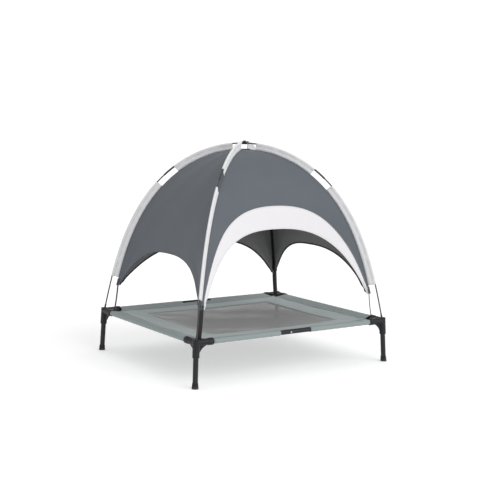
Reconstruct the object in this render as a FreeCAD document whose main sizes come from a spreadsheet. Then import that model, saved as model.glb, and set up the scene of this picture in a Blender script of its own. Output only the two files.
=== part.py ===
# Raised dog bed with a frame and a lift-off canopy, in millimetres.
# +Z is up, the origin is the centre of the bed's footprint on the floor, the open front
# arch with the pale band faces -Y, and the long rails run along X.
import FreeCAD, Part
import math
import os
import Sketcher

V = FreeCAD.Vector
ORIGIN = V(0, 0, 0)
X_AXIS = V(1, 0, 0)
Y_AXIS = V(0, 1, 0)
Z_AXIS = V(0, 0, 1)

doc = FreeCAD.newDocument("framed_dog_bed")
sheet = doc.addObject("Spreadsheet::Sheet", "dims")

# Driving dimensions: alias, value, what it is.
DIMENSIONS = [
    ("bed_length", 740, "between the axes of the two side rails"),
    ("bed_width", 619, "between the axes of the two long rails"),
    ("rail_height", 140, "rail axis above the floor"),
    ("tube_diameter", 15, "rails"),
    ("leg_diameter", 16.6, "legs"),
    ("tube_wall", 1.2, "rails and legs"),
    ("tube_gap", 0.04, "radial gap of a tube in its socket"),
    ("end_gap", 0.2, "gap between the end of a tube and what it stands against"),
    ("rounding", 0.8, "rounded edges of a moulded bracket"),
    ("column_diameter", 22, "upright of a corner bracket"),
    ("column_rise", 10.5, "bracket above the rail axis"),
    ("column_drop", 46, "bracket below the rail axis"),
    ("arm_diameter", 20.6, "bracket arm"),
    ("collar_diameter", 22.6, "collar at the end of a bracket arm"),
    ("collar_start", 41, "collar, from the corner"),
    ("collar_reach", 58, "end of the collar, from the corner"),
    ("rail_inset", 14, "end of a rail, from the corner"),
    ("leg_inset", 12, "top of a leg, below the rail axis"),
    ("leg_splay", 6, "outward lean at the floor, in each direction"),
    ("web_floor", 2, "underside of the bracket's inner web, above the rail axis"),
    ("web_thickness", 5, "bracket's inner web"),
    ("web_reach", 40, "inner web along each arm"),
    ("web_hollow", 30.4, "middle of the web's hollow edge, along each arm"),
    ("gusset_reach", 38, "rib under an arm, from the corner"),
    ("gusset_drop", 35, "rib under an arm, below the rail axis"),
    ("gusset_thickness", 5, "rib under an arm"),
    ("gusset_hollow", 3, "hollow of a rib's slanted edge, in each direction"),
    ("rib_overlap", 1, "rib ends inside the round of the arm and of the upright"),
    ("socket_diameter", 11, "pole socket in the top of a bracket"),
    ("socket_depth", 11.2, "pole socket"),
    ("foot_height", 17.4, "rubber foot"),
    ("foot_top", 9.5, "radius of a foot at its top"),
    ("foot_base", 10.6, "radius of a foot at the floor"),
    ("foot_floor", 4, "rubber under the end of the leg"),
    ("foot_rim", 3, "straight rim at the base of a foot"),
    ("foot_waist", 7, "below the top of a foot, where its flare begins"),
    ("joiner_length", 140, "tube inside the middle of a long rail"),
    ("joiner_wall", 1, "tube inside the middle of a long rail"),
    ("button_diameter", 5.9, "snap button"),
    ("button_round", 1.4, "rounded head of a snap button"),
    ("button_gap", 0.06, "radial gap of a snap button in its holes"),
    ("button_place", 20, "snap button, from the middle of the rail"),
    ("button_proud", 2.6, "snap button beyond the face of the rail"),
    ("half_gap", 0.1, "half the gap between the two halves of a long rail"),
    ("leaf_play", 1, "gap between a spring leaf and the joiner over it"),
    ("leaf_length", 22, "spring leaf under a snap button"),
    ("leaf_width", 4, "spring leaf"),
    ("leaf_thickness", 0.6, "spring leaf"),
    ("sleeve_wall", 1, "fabric round the rails"),
    ("sleeve_gap", 0.1, "fabric round the rails"),
    ("border_thickness", 1.2, "deck between the rails and the mesh, and the mesh itself"),
    ("border_inset", 3, "deck's slope starts inside the rail axes"),
    ("corner_cut", 60, "radius of the arc cut out of each corner of the deck"),
    ("notch_length", 120, "gap in the fabric at the middle of a long rail"),
    ("notch_depth", 16, "gap in the fabric, from the rail axis"),
    ("fabric", 1.6, "thickness of the fabric panels"),
    ("mesh_length", 500, "mesh panel along X"),
    ("mesh_width", 412, "mesh panel along Y"),
    ("deck_sag", 16, "mesh panel below the edge of the deck"),
    ("pole_diameter", 4.5, "fibreglass pole"),
    ("pole_apex", 734.5, "height of the middle of the two crossed poles"),
    ("pole_cross", 2.5, "each pole above or below that height"),
    ("joint_arc", 272, "pole joint, measured along the pole from its middle"),
    ("ferrule_length", 64, "pole joint"),
    ("ferrule_diameter", 6.5, "pole joint"),
    ("tip_diameter", 5.8, "end tip of a pole"),
    ("tip_length", 24, "end tip of a pole"),
    ("tip_rest", 0.3, "end tip above the floor of its socket"),
    ("tip_seat", 6, "solid part of an end tip, below the end of the pole"),
    ("tip_chamfer", 1, "end tip"),
    ("section_gap", 0.1, "half the gap between two pole sections, inside their joint"),
    ("rod_gap", 0.05, "radial gap of a pole in what it passes through"),
    ("ridge_offset", 23.4, "canopy ridge inside the pole axis"),
    ("tip_height", 237, "lower corners of the canopy"),
    ("hem_margin", 8, "canopy left beside the front arch at its lower corners"),
    ("side_margin", 12, "canopy left beside the other arches at their lower corners"),
    ("door_height", 458, "top of the front opening"),
    ("band_height", 529, "top of the pale band over the front opening"),
    ("side_height", 372, "top of the other three arches"),
    ("front_bow", 38, "front panel drawn in at the top of its arch"),
    ("side_bow", 15, "other panels drawn in at the top of their arches"),
    ("fin_gap_top", 41, "ridge fin from the crossing, measured across"),
    ("fin_break_top", 239, "lower end of the upper fin"),
    ("fin_break_low", 298, "upper end of the lower fin"),
    ("fin_end", 454.5, "lower end of the lower fin"),
    ("fin_bore", 7.2, "sleeve along the outer edge of a fin"),
    ("fin_wall", 0.8, "sleeve along the outer edge of a fin"),
    ("strap_width", 13, "elastic strap"),
    ("strap_foot", 37, "foot of a strap, from the corner along the bracket's diagonal"),
    ("strap_slot", 5, "width of the slot for the foot of a strap"),
    ("strap_play", 1, "gap at each edge of a strap in its slot"),
    ("strap_inset", 3, "top of a strap, inside the canopy's corner"),
    ("strap_end_gap", 0.8, "foot of a strap above the underside of the web"),
    ("clip_length", 17, "cross clip at the top"),
    ("clip_width", 10, "cross clip at the top"),
]
for row, (alias, value, meaning) in enumerate(DIMENSIONS, start=1):
    sheet.set(f"A{row}", meaning)
    sheet.set(f"B{row}", str(value))
    sheet.setAlias(f"B{row}", alias)
doc.recompute()


def dim(alias):
    return float(sheet.get(alias))


half_length = dim("bed_length") / 2
half_width = dim("bed_width") / 2
half_diagonal = math.hypot(half_length, half_width)
rail_height = dim("rail_height")
fabric = dim("fabric")

# Corner name, side of X, side of Y, turn that points the bracket's arms inwards.
CORNERS = [
    ("front_left", -1, -1, 0),
    ("front_right", 1, -1, 90),
    ("back_right", 1, 1, 180),
    ("back_left", -1, 1, 270),
]

# The legs lean outwards along the corner's own diagonal, so a leg's frame is the corner's
# frame turned about the horizontal line across that diagonal.
lean_angle = math.degrees(math.atan2(math.sqrt(2) * dim("leg_splay"), rail_height))
lean = FreeCAD.Rotation(V(-1, 1, 0), lean_angle)
leg_run = rail_height / math.cos(math.radians(lean_angle))

parts = []


def corner_placement(side_x, side_y, turn):
    place = V(side_x * half_length, side_y * half_width, rail_height)
    return FreeCAD.Placement(place, FreeCAD.Rotation(Z_AXIS, turn))


def new_body(label, placement):
    body = doc.addObject("PartDesign::Body", label)
    body.Label = label
    body.Placement = placement
    parts.append(body)
    return body


def new_sketch(body, name, role, offset=None):
    sketch = body.newObject("Sketcher::SketchObject", name)
    origin_plane = [item for item in body.Origin.OriginFeatures if item.Role == role][0]
    sketch.AttachmentSupport = (origin_plane, [""])
    sketch.MapMode = "FlatFace"
    if offset is not None:
        sketch.AttachmentOffset = offset
    return sketch


def add_circle(sketch, radius_formula, across=0, up=0):
    """A circle whose radius follows the sheet, its centre held at a fixed place."""
    index = sketch.addGeometry(Part.Circle(V(across, up, 0), Z_AXIS, 1), False)
    rule = sketch.addConstraint(Sketcher.Constraint("Radius", index, 1))
    sketch.setExpression(f"Constraints[{rule}]", radius_formula)
    sketch.addConstraint(Sketcher.Constraint("DistanceX", index, 3, across))
    sketch.addConstraint(Sketcher.Constraint("DistanceY", index, 3, up))


def add_outline(sketch, corners):
    """A closed outline through corners, each (x, y) with an optional bulge point for an arc."""
    count = len(corners)
    for index, corner in enumerate(corners):
        following = corners[(index + 1) % count]
        start = V(corner[0], corner[1], 0)
        end = V(following[0], following[1], 0)
        if len(corner) > 2:
            through = V(corner[2], corner[3], 0)
            sketch.addGeometry(Part.Arc(start, through, end), False)
        else:
            sketch.addGeometry(Part.LineSegment(start, end), False)


def add_feature(body, kind, name, sketch, length_formula, reverse=False, symmetric=False):
    feature = body.newObject("PartDesign::" + kind, name)
    feature.Profile = sketch
    feature.setExpression("Length", length_formula)
    feature.Reversed = reverse
    if symmetric:
        feature.Midplane = True
    sketch.Visibility = False
    return feature


def disc(body, kind, name, role, radius_formula, length_formula, offset=None, reverse=False):
    sketch = new_sketch(body, name + "_sketch", role, offset)
    add_circle(sketch, radius_formula)
    return add_feature(body, kind, name, sketch, length_formula, reverse)


def raised(height):
    return FreeCAD.Placement(V(0, 0, height), FreeCAD.Rotation())


def leaned(height=0):
    return FreeCAD.Placement(ORIGIN, lean) * raised(height)


def round_rims(body, name, radius_formula, wanted):
    """Rounds the arcs and circles on the body's edges that wanted(curve) picks."""
    doc.recompute()
    base = body.Tip
    rims = [f"Edge{number}" for number, edge in enumerate(base.Shape.Edges, start=1)
            if isinstance(edge.Curve, Part.Circle) and wanted(edge.Curve)]
    rounded = body.newObject("PartDesign::Fillet", name)
    rounded.Base = (base, rims)
    rounded.setExpression("Radius", radius_formula)
    doc.recompute()


# ---------------------------------------------------------------- corner brackets
# One moulded shape, used four times: an upright with a pole socket in its top and the leg's
# socket below, two arms that take the rails, ribs under the arms and a web between them.
def is_free_rim(curve):
    """Both rims of each collar and the foot of the leg's socket."""
    at_collar = abs(curve.Radius - dim("collar_diameter") / 2) < dim("tube_gap")
    return at_collar or curve.Center.z < -dim("arm_diameter")


def make_bracket(name, placement):
    body = new_body("corner_bracket_" + name, placement)
    arm = "dims.arm_diameter / 2"
    collar = "dims.collar_diameter / 2"
    collar_length = "dims.collar_reach - dims.collar_start"
    forward = raised(dim("collar_start"))
    backward = raised(-dim("collar_start"))
    column = "dims.column_diameter / 2"
    disc(body, "Pad", "arm_x", "YZ_Plane", arm, "dims.collar_reach - 1")
    disc(body, "Pad", "arm_y", "XZ_Plane", arm, "dims.collar_reach - 1", reverse=True)
    disc(body, "Pad", "collar_x", "YZ_Plane", collar, collar_length, forward)
    disc(body, "Pad", "collar_y", "XZ_Plane", collar, collar_length, backward, reverse=True)
    disc(body, "Pad", "upright", "XY_Plane", column, "dims.column_rise")
    disc(body, "Pad", "leg_socket_wall", "XY_Plane", column, "dims.column_drop", leaned(), True)
    round_rims(body, "rounded_rims", "dims.rounding", is_free_rim)

    reach = dim("web_reach")
    hollow = dim("web_hollow")
    web = new_sketch(body, "web_sketch", "XY_Plane", raised(dim("web_floor")))
    add_outline(web, [(0, 0), (reach, 0), (reach, dim("arm_diameter") / 2, hollow, hollow),
                      (dim("arm_diameter") / 2, reach), (0, reach)])
    add_feature(body, "Pad", "web", web, "dims.web_thickness")

    # A rib is a slightly hollowed triangle in the corner between an arm and the upright.
    rib_reach = dim("gusset_reach")
    rib_drop = dim("gusset_drop")
    rib_foot = dim("column_diameter") / 2 - dim("rib_overlap")
    arm_under = dim("arm_diameter") / 2 - dim("rib_overlap")
    hollow_across = (rib_reach + rib_foot) / 2 - dim("gusset_hollow")
    hollow_down = (rib_drop + arm_under) / 2 - dim("gusset_hollow")
    for direction, role in (("x", "XZ_Plane"), ("y", "YZ_Plane")):
        rib = new_sketch(body, "rib_sketch_" + direction, role)
        add_outline(rib, [(0, 0), (rib_reach, 0),
                          (rib_reach, -arm_under, hollow_across, -hollow_down),
                          (rib_foot, -rib_drop), (0, -rib_drop)])
        add_feature(body, "Pad", "rib_" + direction, rib, "dims.gusset_thickness", False, True)

    def is_hollow_edge(curve):
        return curve.Radius > dim("web_hollow")

    round_rims(body, "rounded_ribs", "dims.rounding", is_hollow_edge)

    # The rail sockets are blind bores that start at the rail's end.
    bore = "dims.tube_diameter / 2 + dims.tube_gap"
    depth = "dims.collar_reach - dims.rail_inset + 1"
    start = raised(dim("rail_inset"))
    start_back = raised(-dim("rail_inset"))
    disc(body, "Pocket", "rail_socket_x", "YZ_Plane", bore, depth, start, True)
    disc(body, "Pocket", "rail_socket_y", "XZ_Plane", bore, depth, start_back)
    leg_depth = "dims.column_drop - dims.leg_inset + 1"
    leg_bore = "dims.leg_diameter / 2 + dims.tube_gap"
    disc(body, "Pocket", "leg_socket", "XY_Plane", leg_bore, leg_depth, leaned(-dim("leg_inset")))
    top = raised(dim("column_rise"))
    disc(body, "Pocket", "pole_socket", "XY_Plane", "dims.socket_diameter / 2",
         "dims.socket_depth", top)

    # Open slot in the web for the foot of the elastic strap.
    slot = new_sketch(body, "strap_slot_sketch", "XY_Plane", raised(dim("column_rise")))
    across = dim("strap_width") + 2 * dim("strap_play")
    add_turned_rectangle(slot, dim("strap_foot"), across, dim("strap_slot"))
    add_feature(body, "Pocket", "strap_slot", slot, "dims.column_rise - dims.web_floor + 1")


def add_turned_rectangle(sketch, distance, across, along):
    """A rectangle centred on the bracket's diagonal and square to it."""
    out = V(1, 1, 0).normalize()
    side = V(-1, 1, 0).normalize()
    centre = out * distance
    corners = []
    for a, b in ((-1, -1), (1, -1), (1, 1), (-1, 1)):
        point = centre + out * (a * along / 2) + side * (b * across / 2)
        corners.append((point.x, point.y))
    add_outline(sketch, corners)


for corner_name, side_x, side_y, turn in CORNERS:
    make_bracket(corner_name, corner_placement(side_x, side_y, turn))


# ---------------------------------------------------------------- legs and feet
def make_leg(name, placement):
    body = new_body("leg_tube_" + name, placement * leaned())
    top = dim("leg_inset") + dim("end_gap")
    tube = new_sketch(body, "tube_sketch", "XY_Plane", raised(-top))
    add_circle(tube, "dims.leg_diameter / 2")
    add_circle(tube, "dims.leg_diameter / 2 - dims.tube_wall")
    pad = add_feature(body, "Pad", "tube", tube, "dims.rail_height", True)
    pad.setExpression("Length", None)
    pad.Length = leg_run - top - dim("foot_floor")


def make_foot(name, placement):
    """A rubber cap pushed over the end of the leg and ground flat where it stands."""
    body = new_body("foot_cap_" + name, placement * leaned())
    top = -leg_run + dim("foot_height")
    below = -leg_run - dim("foot_rim")
    seat = -leg_run + dim("foot_floor")
    inner = dim("leg_diameter") / 2
    waist = top - dim("foot_waist")
    flare = dim("foot_top") + (dim("foot_base") - dim("foot_top")) / 5
    bell = new_sketch(body, "bell_sketch", "XZ_Plane")
    add_outline(bell, [(0, below), (dim("foot_base"), below),
                       (dim("foot_base"), -leg_run + dim("foot_rim"), flare, waist),
                       (dim("foot_top"), top), (inner, top), (inner, seat), (0, seat)])
    turned = body.newObject("PartDesign::Revolution", "bell")
    turned.Profile = bell
    turned.ReferenceAxis = (bell, ["V_Axis"])
    turned.Angle = 360
    doc.recompute()
    flat = FreeCAD.Placement(ORIGIN, lean.inverted()) * raised(-rail_height)
    disc(body, "Pocket", "floor_flat", "XY_Plane", "dims.foot_base * 3", "dims.foot_floor * 2", flat)


for corner_name, side_x, side_y, turn in CORNERS:
    make_leg(corner_name, corner_placement(side_x, side_y, turn))
    make_foot(corner_name, corner_placement(side_x, side_y, turn))


# ---------------------------------------------------------------- rails
def make_tube(label, placement, outer_formula, inner_formula, length_formula):
    body = new_body(label, placement)
    ring = new_sketch(body, "ring_sketch", "YZ_Plane")
    add_circle(ring, outer_formula)
    add_circle(ring, inner_formula)
    add_feature(body, "Pad", "tube", ring, length_formula)
    return body


def add_button_hole(body, place_formula):
    hole = new_sketch(body, "button_hole_sketch", "XZ_Plane")
    add_circle(hole, "dims.button_diameter / 2 + dims.button_gap")
    hole.setExpression("AttachmentOffset.Base.x", place_formula)
    add_feature(body, "Pocket", "button_hole", hole, "dims.tube_diameter")


tube_outer = "dims.tube_diameter / 2"
tube_inner = "dims.tube_diameter / 2 - dims.tube_wall"
for side_name, side_x in (("left", -1), ("right", 1)):
    rail_end = half_width - dim("rail_inset") - dim("end_gap")
    start = V(side_x * half_length, -rail_end, rail_height)
    side_place = FreeCAD.Placement(start, FreeCAD.Rotation(Z_AXIS, 90))
    make_tube("side_rail_" + side_name, side_place, tube_outer, tube_inner,
              "dims.bed_width - 2 * dims.rail_inset - 2 * dims.end_gap")

# Each long rail is two halves pushed over an inner joiner and held by a snap button, which
# stands out of the outer face of the right half.
half_rail = "dims.bed_length / 2 - dims.rail_inset - dims.end_gap - dims.half_gap"
for rail_name, side_y in (("front", -1), ("back", 1)):
    middle = V(0, side_y * half_width, rail_height)
    outward = FreeCAD.Placement(middle, FreeCAD.Rotation(Z_AXIS, 0 if side_y > 0 else 180))
    inward = FreeCAD.Placement(middle, FreeCAD.Rotation(Z_AXIS, 180 if side_y > 0 else 0))
    names = ("right", "left") if side_y > 0 else ("left", "right")
    gap = FreeCAD.Placement(V(dim("half_gap"), 0, 0), FreeCAD.Rotation())
    near = make_tube(f"{rail_name}_rail_{names[0]}", outward * gap, tube_outer, tube_inner, half_rail)
    add_button_hole(near, "dims.button_place - dims.half_gap")
    make_tube(f"{rail_name}_rail_{names[1]}", inward * gap, tube_outer, tube_inner, half_rail)

    back_half = FreeCAD.Placement(V(-dim("joiner_length") / 2, 0, 0), FreeCAD.Rotation())
    joiner_outer = "dims.tube_diameter / 2 - dims.tube_wall - dims.tube_gap"
    joiner = make_tube(f"{rail_name}_rail_joiner", outward * back_half, joiner_outer,
                       joiner_outer + " - dims.joiner_wall", "dims.joiner_length")
    add_button_hole(joiner, "dims.joiner_length / 2 + dims.button_place")

    seat = FreeCAD.Placement(V(dim("button_place"), 0, 0), FreeCAD.Rotation())
    button = new_body(f"{rail_name}_snap_button", outward * seat)
    inner_face = dim("tube_diameter") / 2 - dim("tube_wall") - dim("tube_gap") - dim("joiner_wall")
    leaf_top = inner_face - dim("leaf_play")
    leaf_sketch = new_sketch(button, "leaf_sketch", "XZ_Plane",
                             FreeCAD.Placement(V(0, 0, -leaf_top), FreeCAD.Rotation()))
    half_leaf = dim("leaf_length") / 2
    half_leaf_width = dim("leaf_width") / 2
    add_outline(leaf_sketch, [(-half_leaf, -half_leaf_width), (half_leaf, -half_leaf_width),
                              (half_leaf, half_leaf_width), (-half_leaf, half_leaf_width)])
    add_feature(button, "Pad", "leaf", leaf_sketch, "dims.leaf_thickness")
    stem_foot = leaf_top - dim("leaf_thickness") / 2
    stem_start = FreeCAD.Placement(V(0, 0, -stem_foot), FreeCAD.Rotation())
    stem_end = dim("tube_diameter") / 2 + dim("button_proud")
    stem = new_sketch(button, "stem_sketch", "XZ_Plane", stem_start)
    add_circle(stem, "dims.button_diameter / 2")
    pad = add_feature(button, "Pad", "stem", stem, "dims.button_diameter", True)
    pad.setExpression("Length", None)
    pad.Length = stem_end - stem_foot
    doc.recompute()
    head = button.newObject("PartDesign::Fillet", "rounded_head")
    rim = [f"Edge{number}" for number, edge in enumerate(pad.Shape.Edges, start=1)
           if edge.BoundBox.YMin > stem_end - dim("end_gap")]
    head.Base = (pad, rim)
    head.setExpression("Radius", "dims.button_round")


# ---------------------------------------------------------------- the poles' curve
# A straight rod bent between two pinned ends: its curvature at any point is proportional to
# its height above the line through its ends. The curve is a chain of arcs that run smoothly
# into each other, measured from the middle of the pole.
class PoleCurve:
    ARCS = 24

    def __init__(self, half_span, rise):
        low = 1e-7
        high = 1e-4
        for _ in range(60):
            self.stiffness = (low + high) / 2
            self.run = self.length_to_base(rise)
            reach = self.nodes[-1][0]
            if reach > half_span:
                low = self.stiffness
            else:
                high = self.stiffness

    def length_to_base(self, rise):
        low = rise
        high = rise * 6
        for _ in range(50):
            length = (low + high) / 2
            self.lay_arcs(length, rise)
            if self.nodes[-1][1] > 0:
                low = length
            else:
                high = length
        return length

    def lay_arcs(self, length, rise):
        self.step = length / self.ARCS
        across = 0
        up = rise
        slope = 0
        self.nodes = []
        self.bends = []
        for _ in range(self.ARCS):
            self.nodes.append((across, up, slope))
            middle = up - math.sin(slope) * self.step / 2
            bend = max(self.stiffness * middle, 1e-9)
            self.bends.append(bend)
            turned = slope + bend * self.step
            across += (math.sin(turned) - math.sin(slope)) / bend
            up -= (math.cos(slope) - math.cos(turned)) / bend
            slope = turned
        self.nodes.append((across, up, slope))

    def at(self, run, offset=0):
        """Distance out from the middle, height over the base, and slope; offset is inwards."""
        index = min(int(run / self.step), self.ARCS - 1)
        across, up, slope = self.nodes[index]
        bend = self.bends[index]
        turned = slope + bend * (run - index * self.step)
        across += (math.sin(turned) - math.sin(slope)) / bend
        up -= (math.cos(slope) - math.cos(turned)) / bend
        return across - offset * math.sin(turned), up - offset * math.cos(turned), turned

    def run_where(self, test):
        """Length along the pole at which test(across, up) first turns true."""
        low = 0
        high = self.run
        for _ in range(50):
            middle = (low + high) / 2
            across, up, slope = self.at(middle)
            if test(across, up):
                high = middle
            else:
                low = middle
        return high

    def edges(self, start, end, point, offset=0):
        """Arcs between two lengths along the pole, placed by point(across, up)."""
        stops = [start]
        stops += [i * self.step for i in range(self.ARCS + 1) if start < i * self.step < end]
        stops.append(end)
        result = []
        for first, last in zip(stops, stops[1:]):
            if last - first < 1e-6:
                continue
            a, b, c = (self.at(run, offset) for run in (first, (first + last) / 2, last))
            result.append(Part.Arc(point(*a[:2]), point(*b[:2]), point(*c[:2])).toShape())
        return result


pole_rise = dim("pole_apex") - rail_height
mean_curve = PoleCurve(half_diagonal, pole_rise)
crossing = dim("pole_cross")
# The pole from the front left corner to the back right one lies on top at the crossing.
POLES = [
    ("over", "front_left", "back_right", PoleCurve(half_diagonal, pole_rise + crossing)),
    ("under", "back_left", "front_right", PoleCurve(half_diagonal, pole_rise - crossing)),
]
CORNER_SIDE = {name: (side_x, side_y) for name, side_x, side_y, turn in CORNERS}


def out_point(corner):
    """A function that places a point of a pole's curve over the given corner's diagonal."""
    side_x, side_y = CORNER_SIDE[corner]
    east = side_x * half_length / half_diagonal
    north = side_y * half_width / half_diagonal

    def place(across, up):
        return V(across * east, across * north, up + rail_height)
    return place


def across_diagonal(corner):
    """Unit vector square to the vertical plane through the given corner's diagonal."""
    side_x, side_y = CORNER_SIDE[corner]
    return V(-side_y * half_width, side_x * half_length, 0).normalize()


def add_feature_part(label, shape):
    feature = doc.addObject("Part::Feature", label)
    feature.Label = label
    feature.Shape = shape
    parts.append(feature)
    return feature


def rod(edges, radius):
    """A round rod along a chain of arcs."""
    path = Part.Wire(edges)
    first = edges[0]
    start = first.valueAt(first.FirstParameter)
    tangent = first.tangentAt(first.FirstParameter)
    profile = Part.Wire([Part.Circle(start, tangent, radius).toShape()])
    return path.makePipeShell([profile], True, True)


def both_sides(curve, reach, first_point, second_point):
    """Arcs from reach on one side of the middle to reach on the other."""
    flipped = []
    for edge in reversed(curve.edges(0, reach, first_point)):
        first, last = edge.FirstParameter, edge.LastParameter
        points = [edge.valueAt(last), edge.valueAt((first + last) / 2), edge.valueAt(first)]
        flipped.append(Part.Arc(*points).toShape())
    return flipped + curve.edges(0, reach, second_point)


# ---------------------------------------------------------------- poles, joints and tips
joint_run = dim("joint_arc")
for pole_name, first_corner, second_corner, curve in POLES:
    radius = dim("pole_diameter") / 2
    points = [out_point(first_corner), out_point(second_corner)]
    centre = both_sides(curve, joint_run - dim("section_gap"), points[0], points[1])
    add_feature_part(f"pole_{pole_name}_middle", rod(centre, radius))
    for corner, point in zip((first_corner, second_corner), points):
        tip_end = curve.run - dim("tip_rest")
        low_run = tip_end - dim("tip_seat")
        lower = rod(curve.edges(joint_run + dim("section_gap"), low_run, point), radius)
        add_feature_part(f"pole_{pole_name}_{corner}", lower)
        half_ferrule = dim("ferrule_length") / 2
        span = curve.edges(joint_run - half_ferrule, joint_run + half_ferrule, point)
        bore = rod(span, radius + dim("rod_gap"))
        sleeve = rod(span, dim("ferrule_diameter") / 2).cut(bore)
        add_feature_part(f"pole_joint_{corner}", sleeve)

        end = point(*curve.at(tip_end)[:2])
        direction = (point(*curve.at(tip_end - dim("tip_length"))[:2]) - end).normalize()
        tip_radius = dim("tip_diameter") / 2
        bevel = dim("tip_chamfer")
        barrel_length = dim("tip_length") - bevel
        tip = Part.makeCylinder(tip_radius, barrel_length, end + direction * bevel, direction)
        nose = Part.makeCone(tip_radius - bevel, tip_radius, bevel, end, direction)
        seat_start = end + direction * dim("tip_seat")
        seat = Part.makeCylinder(radius + dim("rod_gap"), barrel_length, seat_start, direction)
        add_feature_part(f"pole_tip_{corner}", tip.fuse(nose).cut(seat).removeSplitter())


# The clip that holds the two poles where they cross.
clip_centre = V(0, 0, dim("pole_apex"))
clip_half = dim("clip_length") / 2
clip = None
for pole_name, first_corner, second_corner, curve in POLES:
    height = crossing if pole_name == "over" else -crossing
    along = out_point(second_corner)(1, 0) - out_point(second_corner)(0, 0)
    start = clip_centre + V(0, 0, height) - along * clip_half
    block = Part.makeCylinder(dim("clip_width") / 2 - 1, dim("clip_length"), start, along)
    clip = block if clip is None else clip.fuse(block)
for pole_name, first_corner, second_corner, curve in POLES:
    points = [out_point(first_corner), out_point(second_corner)]
    path = both_sides(curve, dim("clip_length"), points[0], points[1])
    clip = clip.cut(rod(path, dim("pole_diameter") / 2 + dim("rod_gap")))
add_feature_part("crossing_clip", clip.removeSplitter())


# ---------------------------------------------------------------- ridge fins
# Four pairs of fabric fins stand on the canopy's ridges. Each is a flat strip with a sleeve
# along its outer edge that the pole runs through.
def make_fin(label, curve, corner, start_across, end_across):
    start = curve.run_where(lambda across, up: across > start_across)
    end = curve.run_where(lambda across, up: across > end_across)
    point = out_point(corner)
    bore = dim("fin_bore") / 2
    wall = dim("fin_wall")
    path = curve.edges(start, end, point)
    outer = curve.edges(start, end, point, bore + wall / 2)
    seam = dim("ridge_offset") - dim("end_gap")
    low_start = mean_curve.run_where(lambda across, up: across > start_across)
    low_end = mean_curve.run_where(lambda across, up: across > end_across)
    inner = mean_curve.edges(low_start, low_end, point, seam)
    last = Part.LineSegment(outer[-1].Vertexes[-1].Point, inner[-1].Vertexes[-1].Point).toShape()
    first = Part.LineSegment(outer[0].Vertexes[0].Point, inner[0].Vertexes[0].Point).toShape()
    face = Part.Face(Part.Wire(Part.__sortEdges__(outer + [last, first] + inner)))
    square = across_diagonal(corner)
    web = face.extrude(square * fabric)
    web.translate(square * (-fabric / 2))
    sleeve = rod(path, bore + wall).cut(rod(path, bore))
    add_feature_part(label, sleeve.fuse(web))


for pole_name, first_corner, second_corner, curve in POLES:
    for corner in (first_corner, second_corner):
        make_fin(f"upper_fin_{corner}", curve, corner, dim("fin_gap_top"), dim("fin_break_top"))
        make_fin(f"lower_fin_{corner}", curve, corner, dim("fin_break_low"), dim("fin_end"))


# ---------------------------------------------------------------- canopy panels
# Four panels meet on the ridges. Each runs straight from ridge to ridge near the top and is
# drawn in towards the middle lower down, and an arch is cut out of its lower edge.
def ridge_point(corner, run, depth):
    across, up, slope = mean_curve.at(run, dim("ridge_offset") + depth)
    return out_point(corner)(across, up)


def ridge_run(height):
    """Length along the mean pole at which the canopy's ridge is at the given height."""
    low = 0
    high = mean_curve.run
    for _ in range(50):
        middle = (low + high) / 2
        if ridge_point("front_left", middle, 0).z > height:
            low = middle
        else:
            high = middle
    return high


def drawn_in(bow, fall):
    """How far a panel's middle is drawn in; fall is 0 at the crossing and 1 at the hem."""
    most = 1.25
    quickness = math.log(most / (most - 1))
    return bow * most * (1 - math.exp(-quickness * fall ** 4))


def panel_surface(left_corner, right_corner, inward, hem_top, bow, depth):
    """One face of a panel, through a grid of points from the crossing down to the tips."""
    apex = dim("pole_apex")
    start = dim("ridge_offset") * 0.1
    end = ridge_run(dim("tip_height"))
    rows = 12
    columns = 7
    grid = []
    for row in range(rows):
        run = start + (end - start) * row / (rows - 1)
        left = ridge_point(left_corner, run, depth)
        right = ridge_point(right_corner, run, depth)
        draw = drawn_in(bow, (apex - left.z) / (apex - hem_top))
        line = []
        for column in range(columns):
            share = 2 * column / (columns - 1) - 1
            point = (left + right) / 2 + (right - left) * (share / 2)
            line.append(point + inward * (draw * (1 - share ** 2)))
        grid.append(line)
    surface = Part.BSplineSurface()
    surface.interpolate(grid)
    return surface


def border_curves(surface):
    first_u, last_u, first_v, last_v = surface.bounds()
    curves = [surface.uIso(first_u), surface.uIso(last_u)]
    curves += [surface.vIso(first_v), surface.vIso(last_v)]
    return [curve.toShape() for curve in curves]


def make_panel(left_corner, right_corner, inward, hem_top, bow):
    shape = (left_corner, right_corner, inward, hem_top, bow)
    outer = panel_surface(*shape, 0)
    inner = panel_surface(*shape, fabric)
    faces = [outer.toShape(), inner.toShape()]
    for outside, inside in zip(border_curves(outer), border_curves(inner)):
        faces.append(Part.makeRuledSurface(outside, inside))
    shell = Part.makeShell(faces)
    shell.sewShape()
    panel = Part.makeSolid(Part.Shell(shell.Faces))
    if panel.Volume < 0:
        panel.reverse()
    return panel


def arch_cutter(panel_side, half_span, foot, top, power):
    """A prism under an arch; panel_side is the direction that the panel faces."""
    sweep = V(panel_side.y, -panel_side.x, 0)
    count = 12
    curve_points = []
    for index in range(-count, count + 1):
        share = index / count
        rise = (top - foot) * (1 - abs(share) ** power)
        curve_points.append(sweep * (share * half_span) + V(0, 0, foot + rise))
    curve = Part.BSplineCurve()
    curve.interpolate(curve_points)
    below = V(0, 0, foot - 60)
    left_low = sweep * -half_span + below
    right_low = sweep * half_span + below
    lines = [Part.LineSegment(curve_points[-1], right_low).toShape(),
             Part.LineSegment(right_low, left_low).toShape(),
             Part.LineSegment(left_low, curve_points[0]).toShape()]
    face = Part.Face(Part.Wire([curve.toShape()] + lines))
    return face.extrude(panel_side * half_length)


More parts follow.
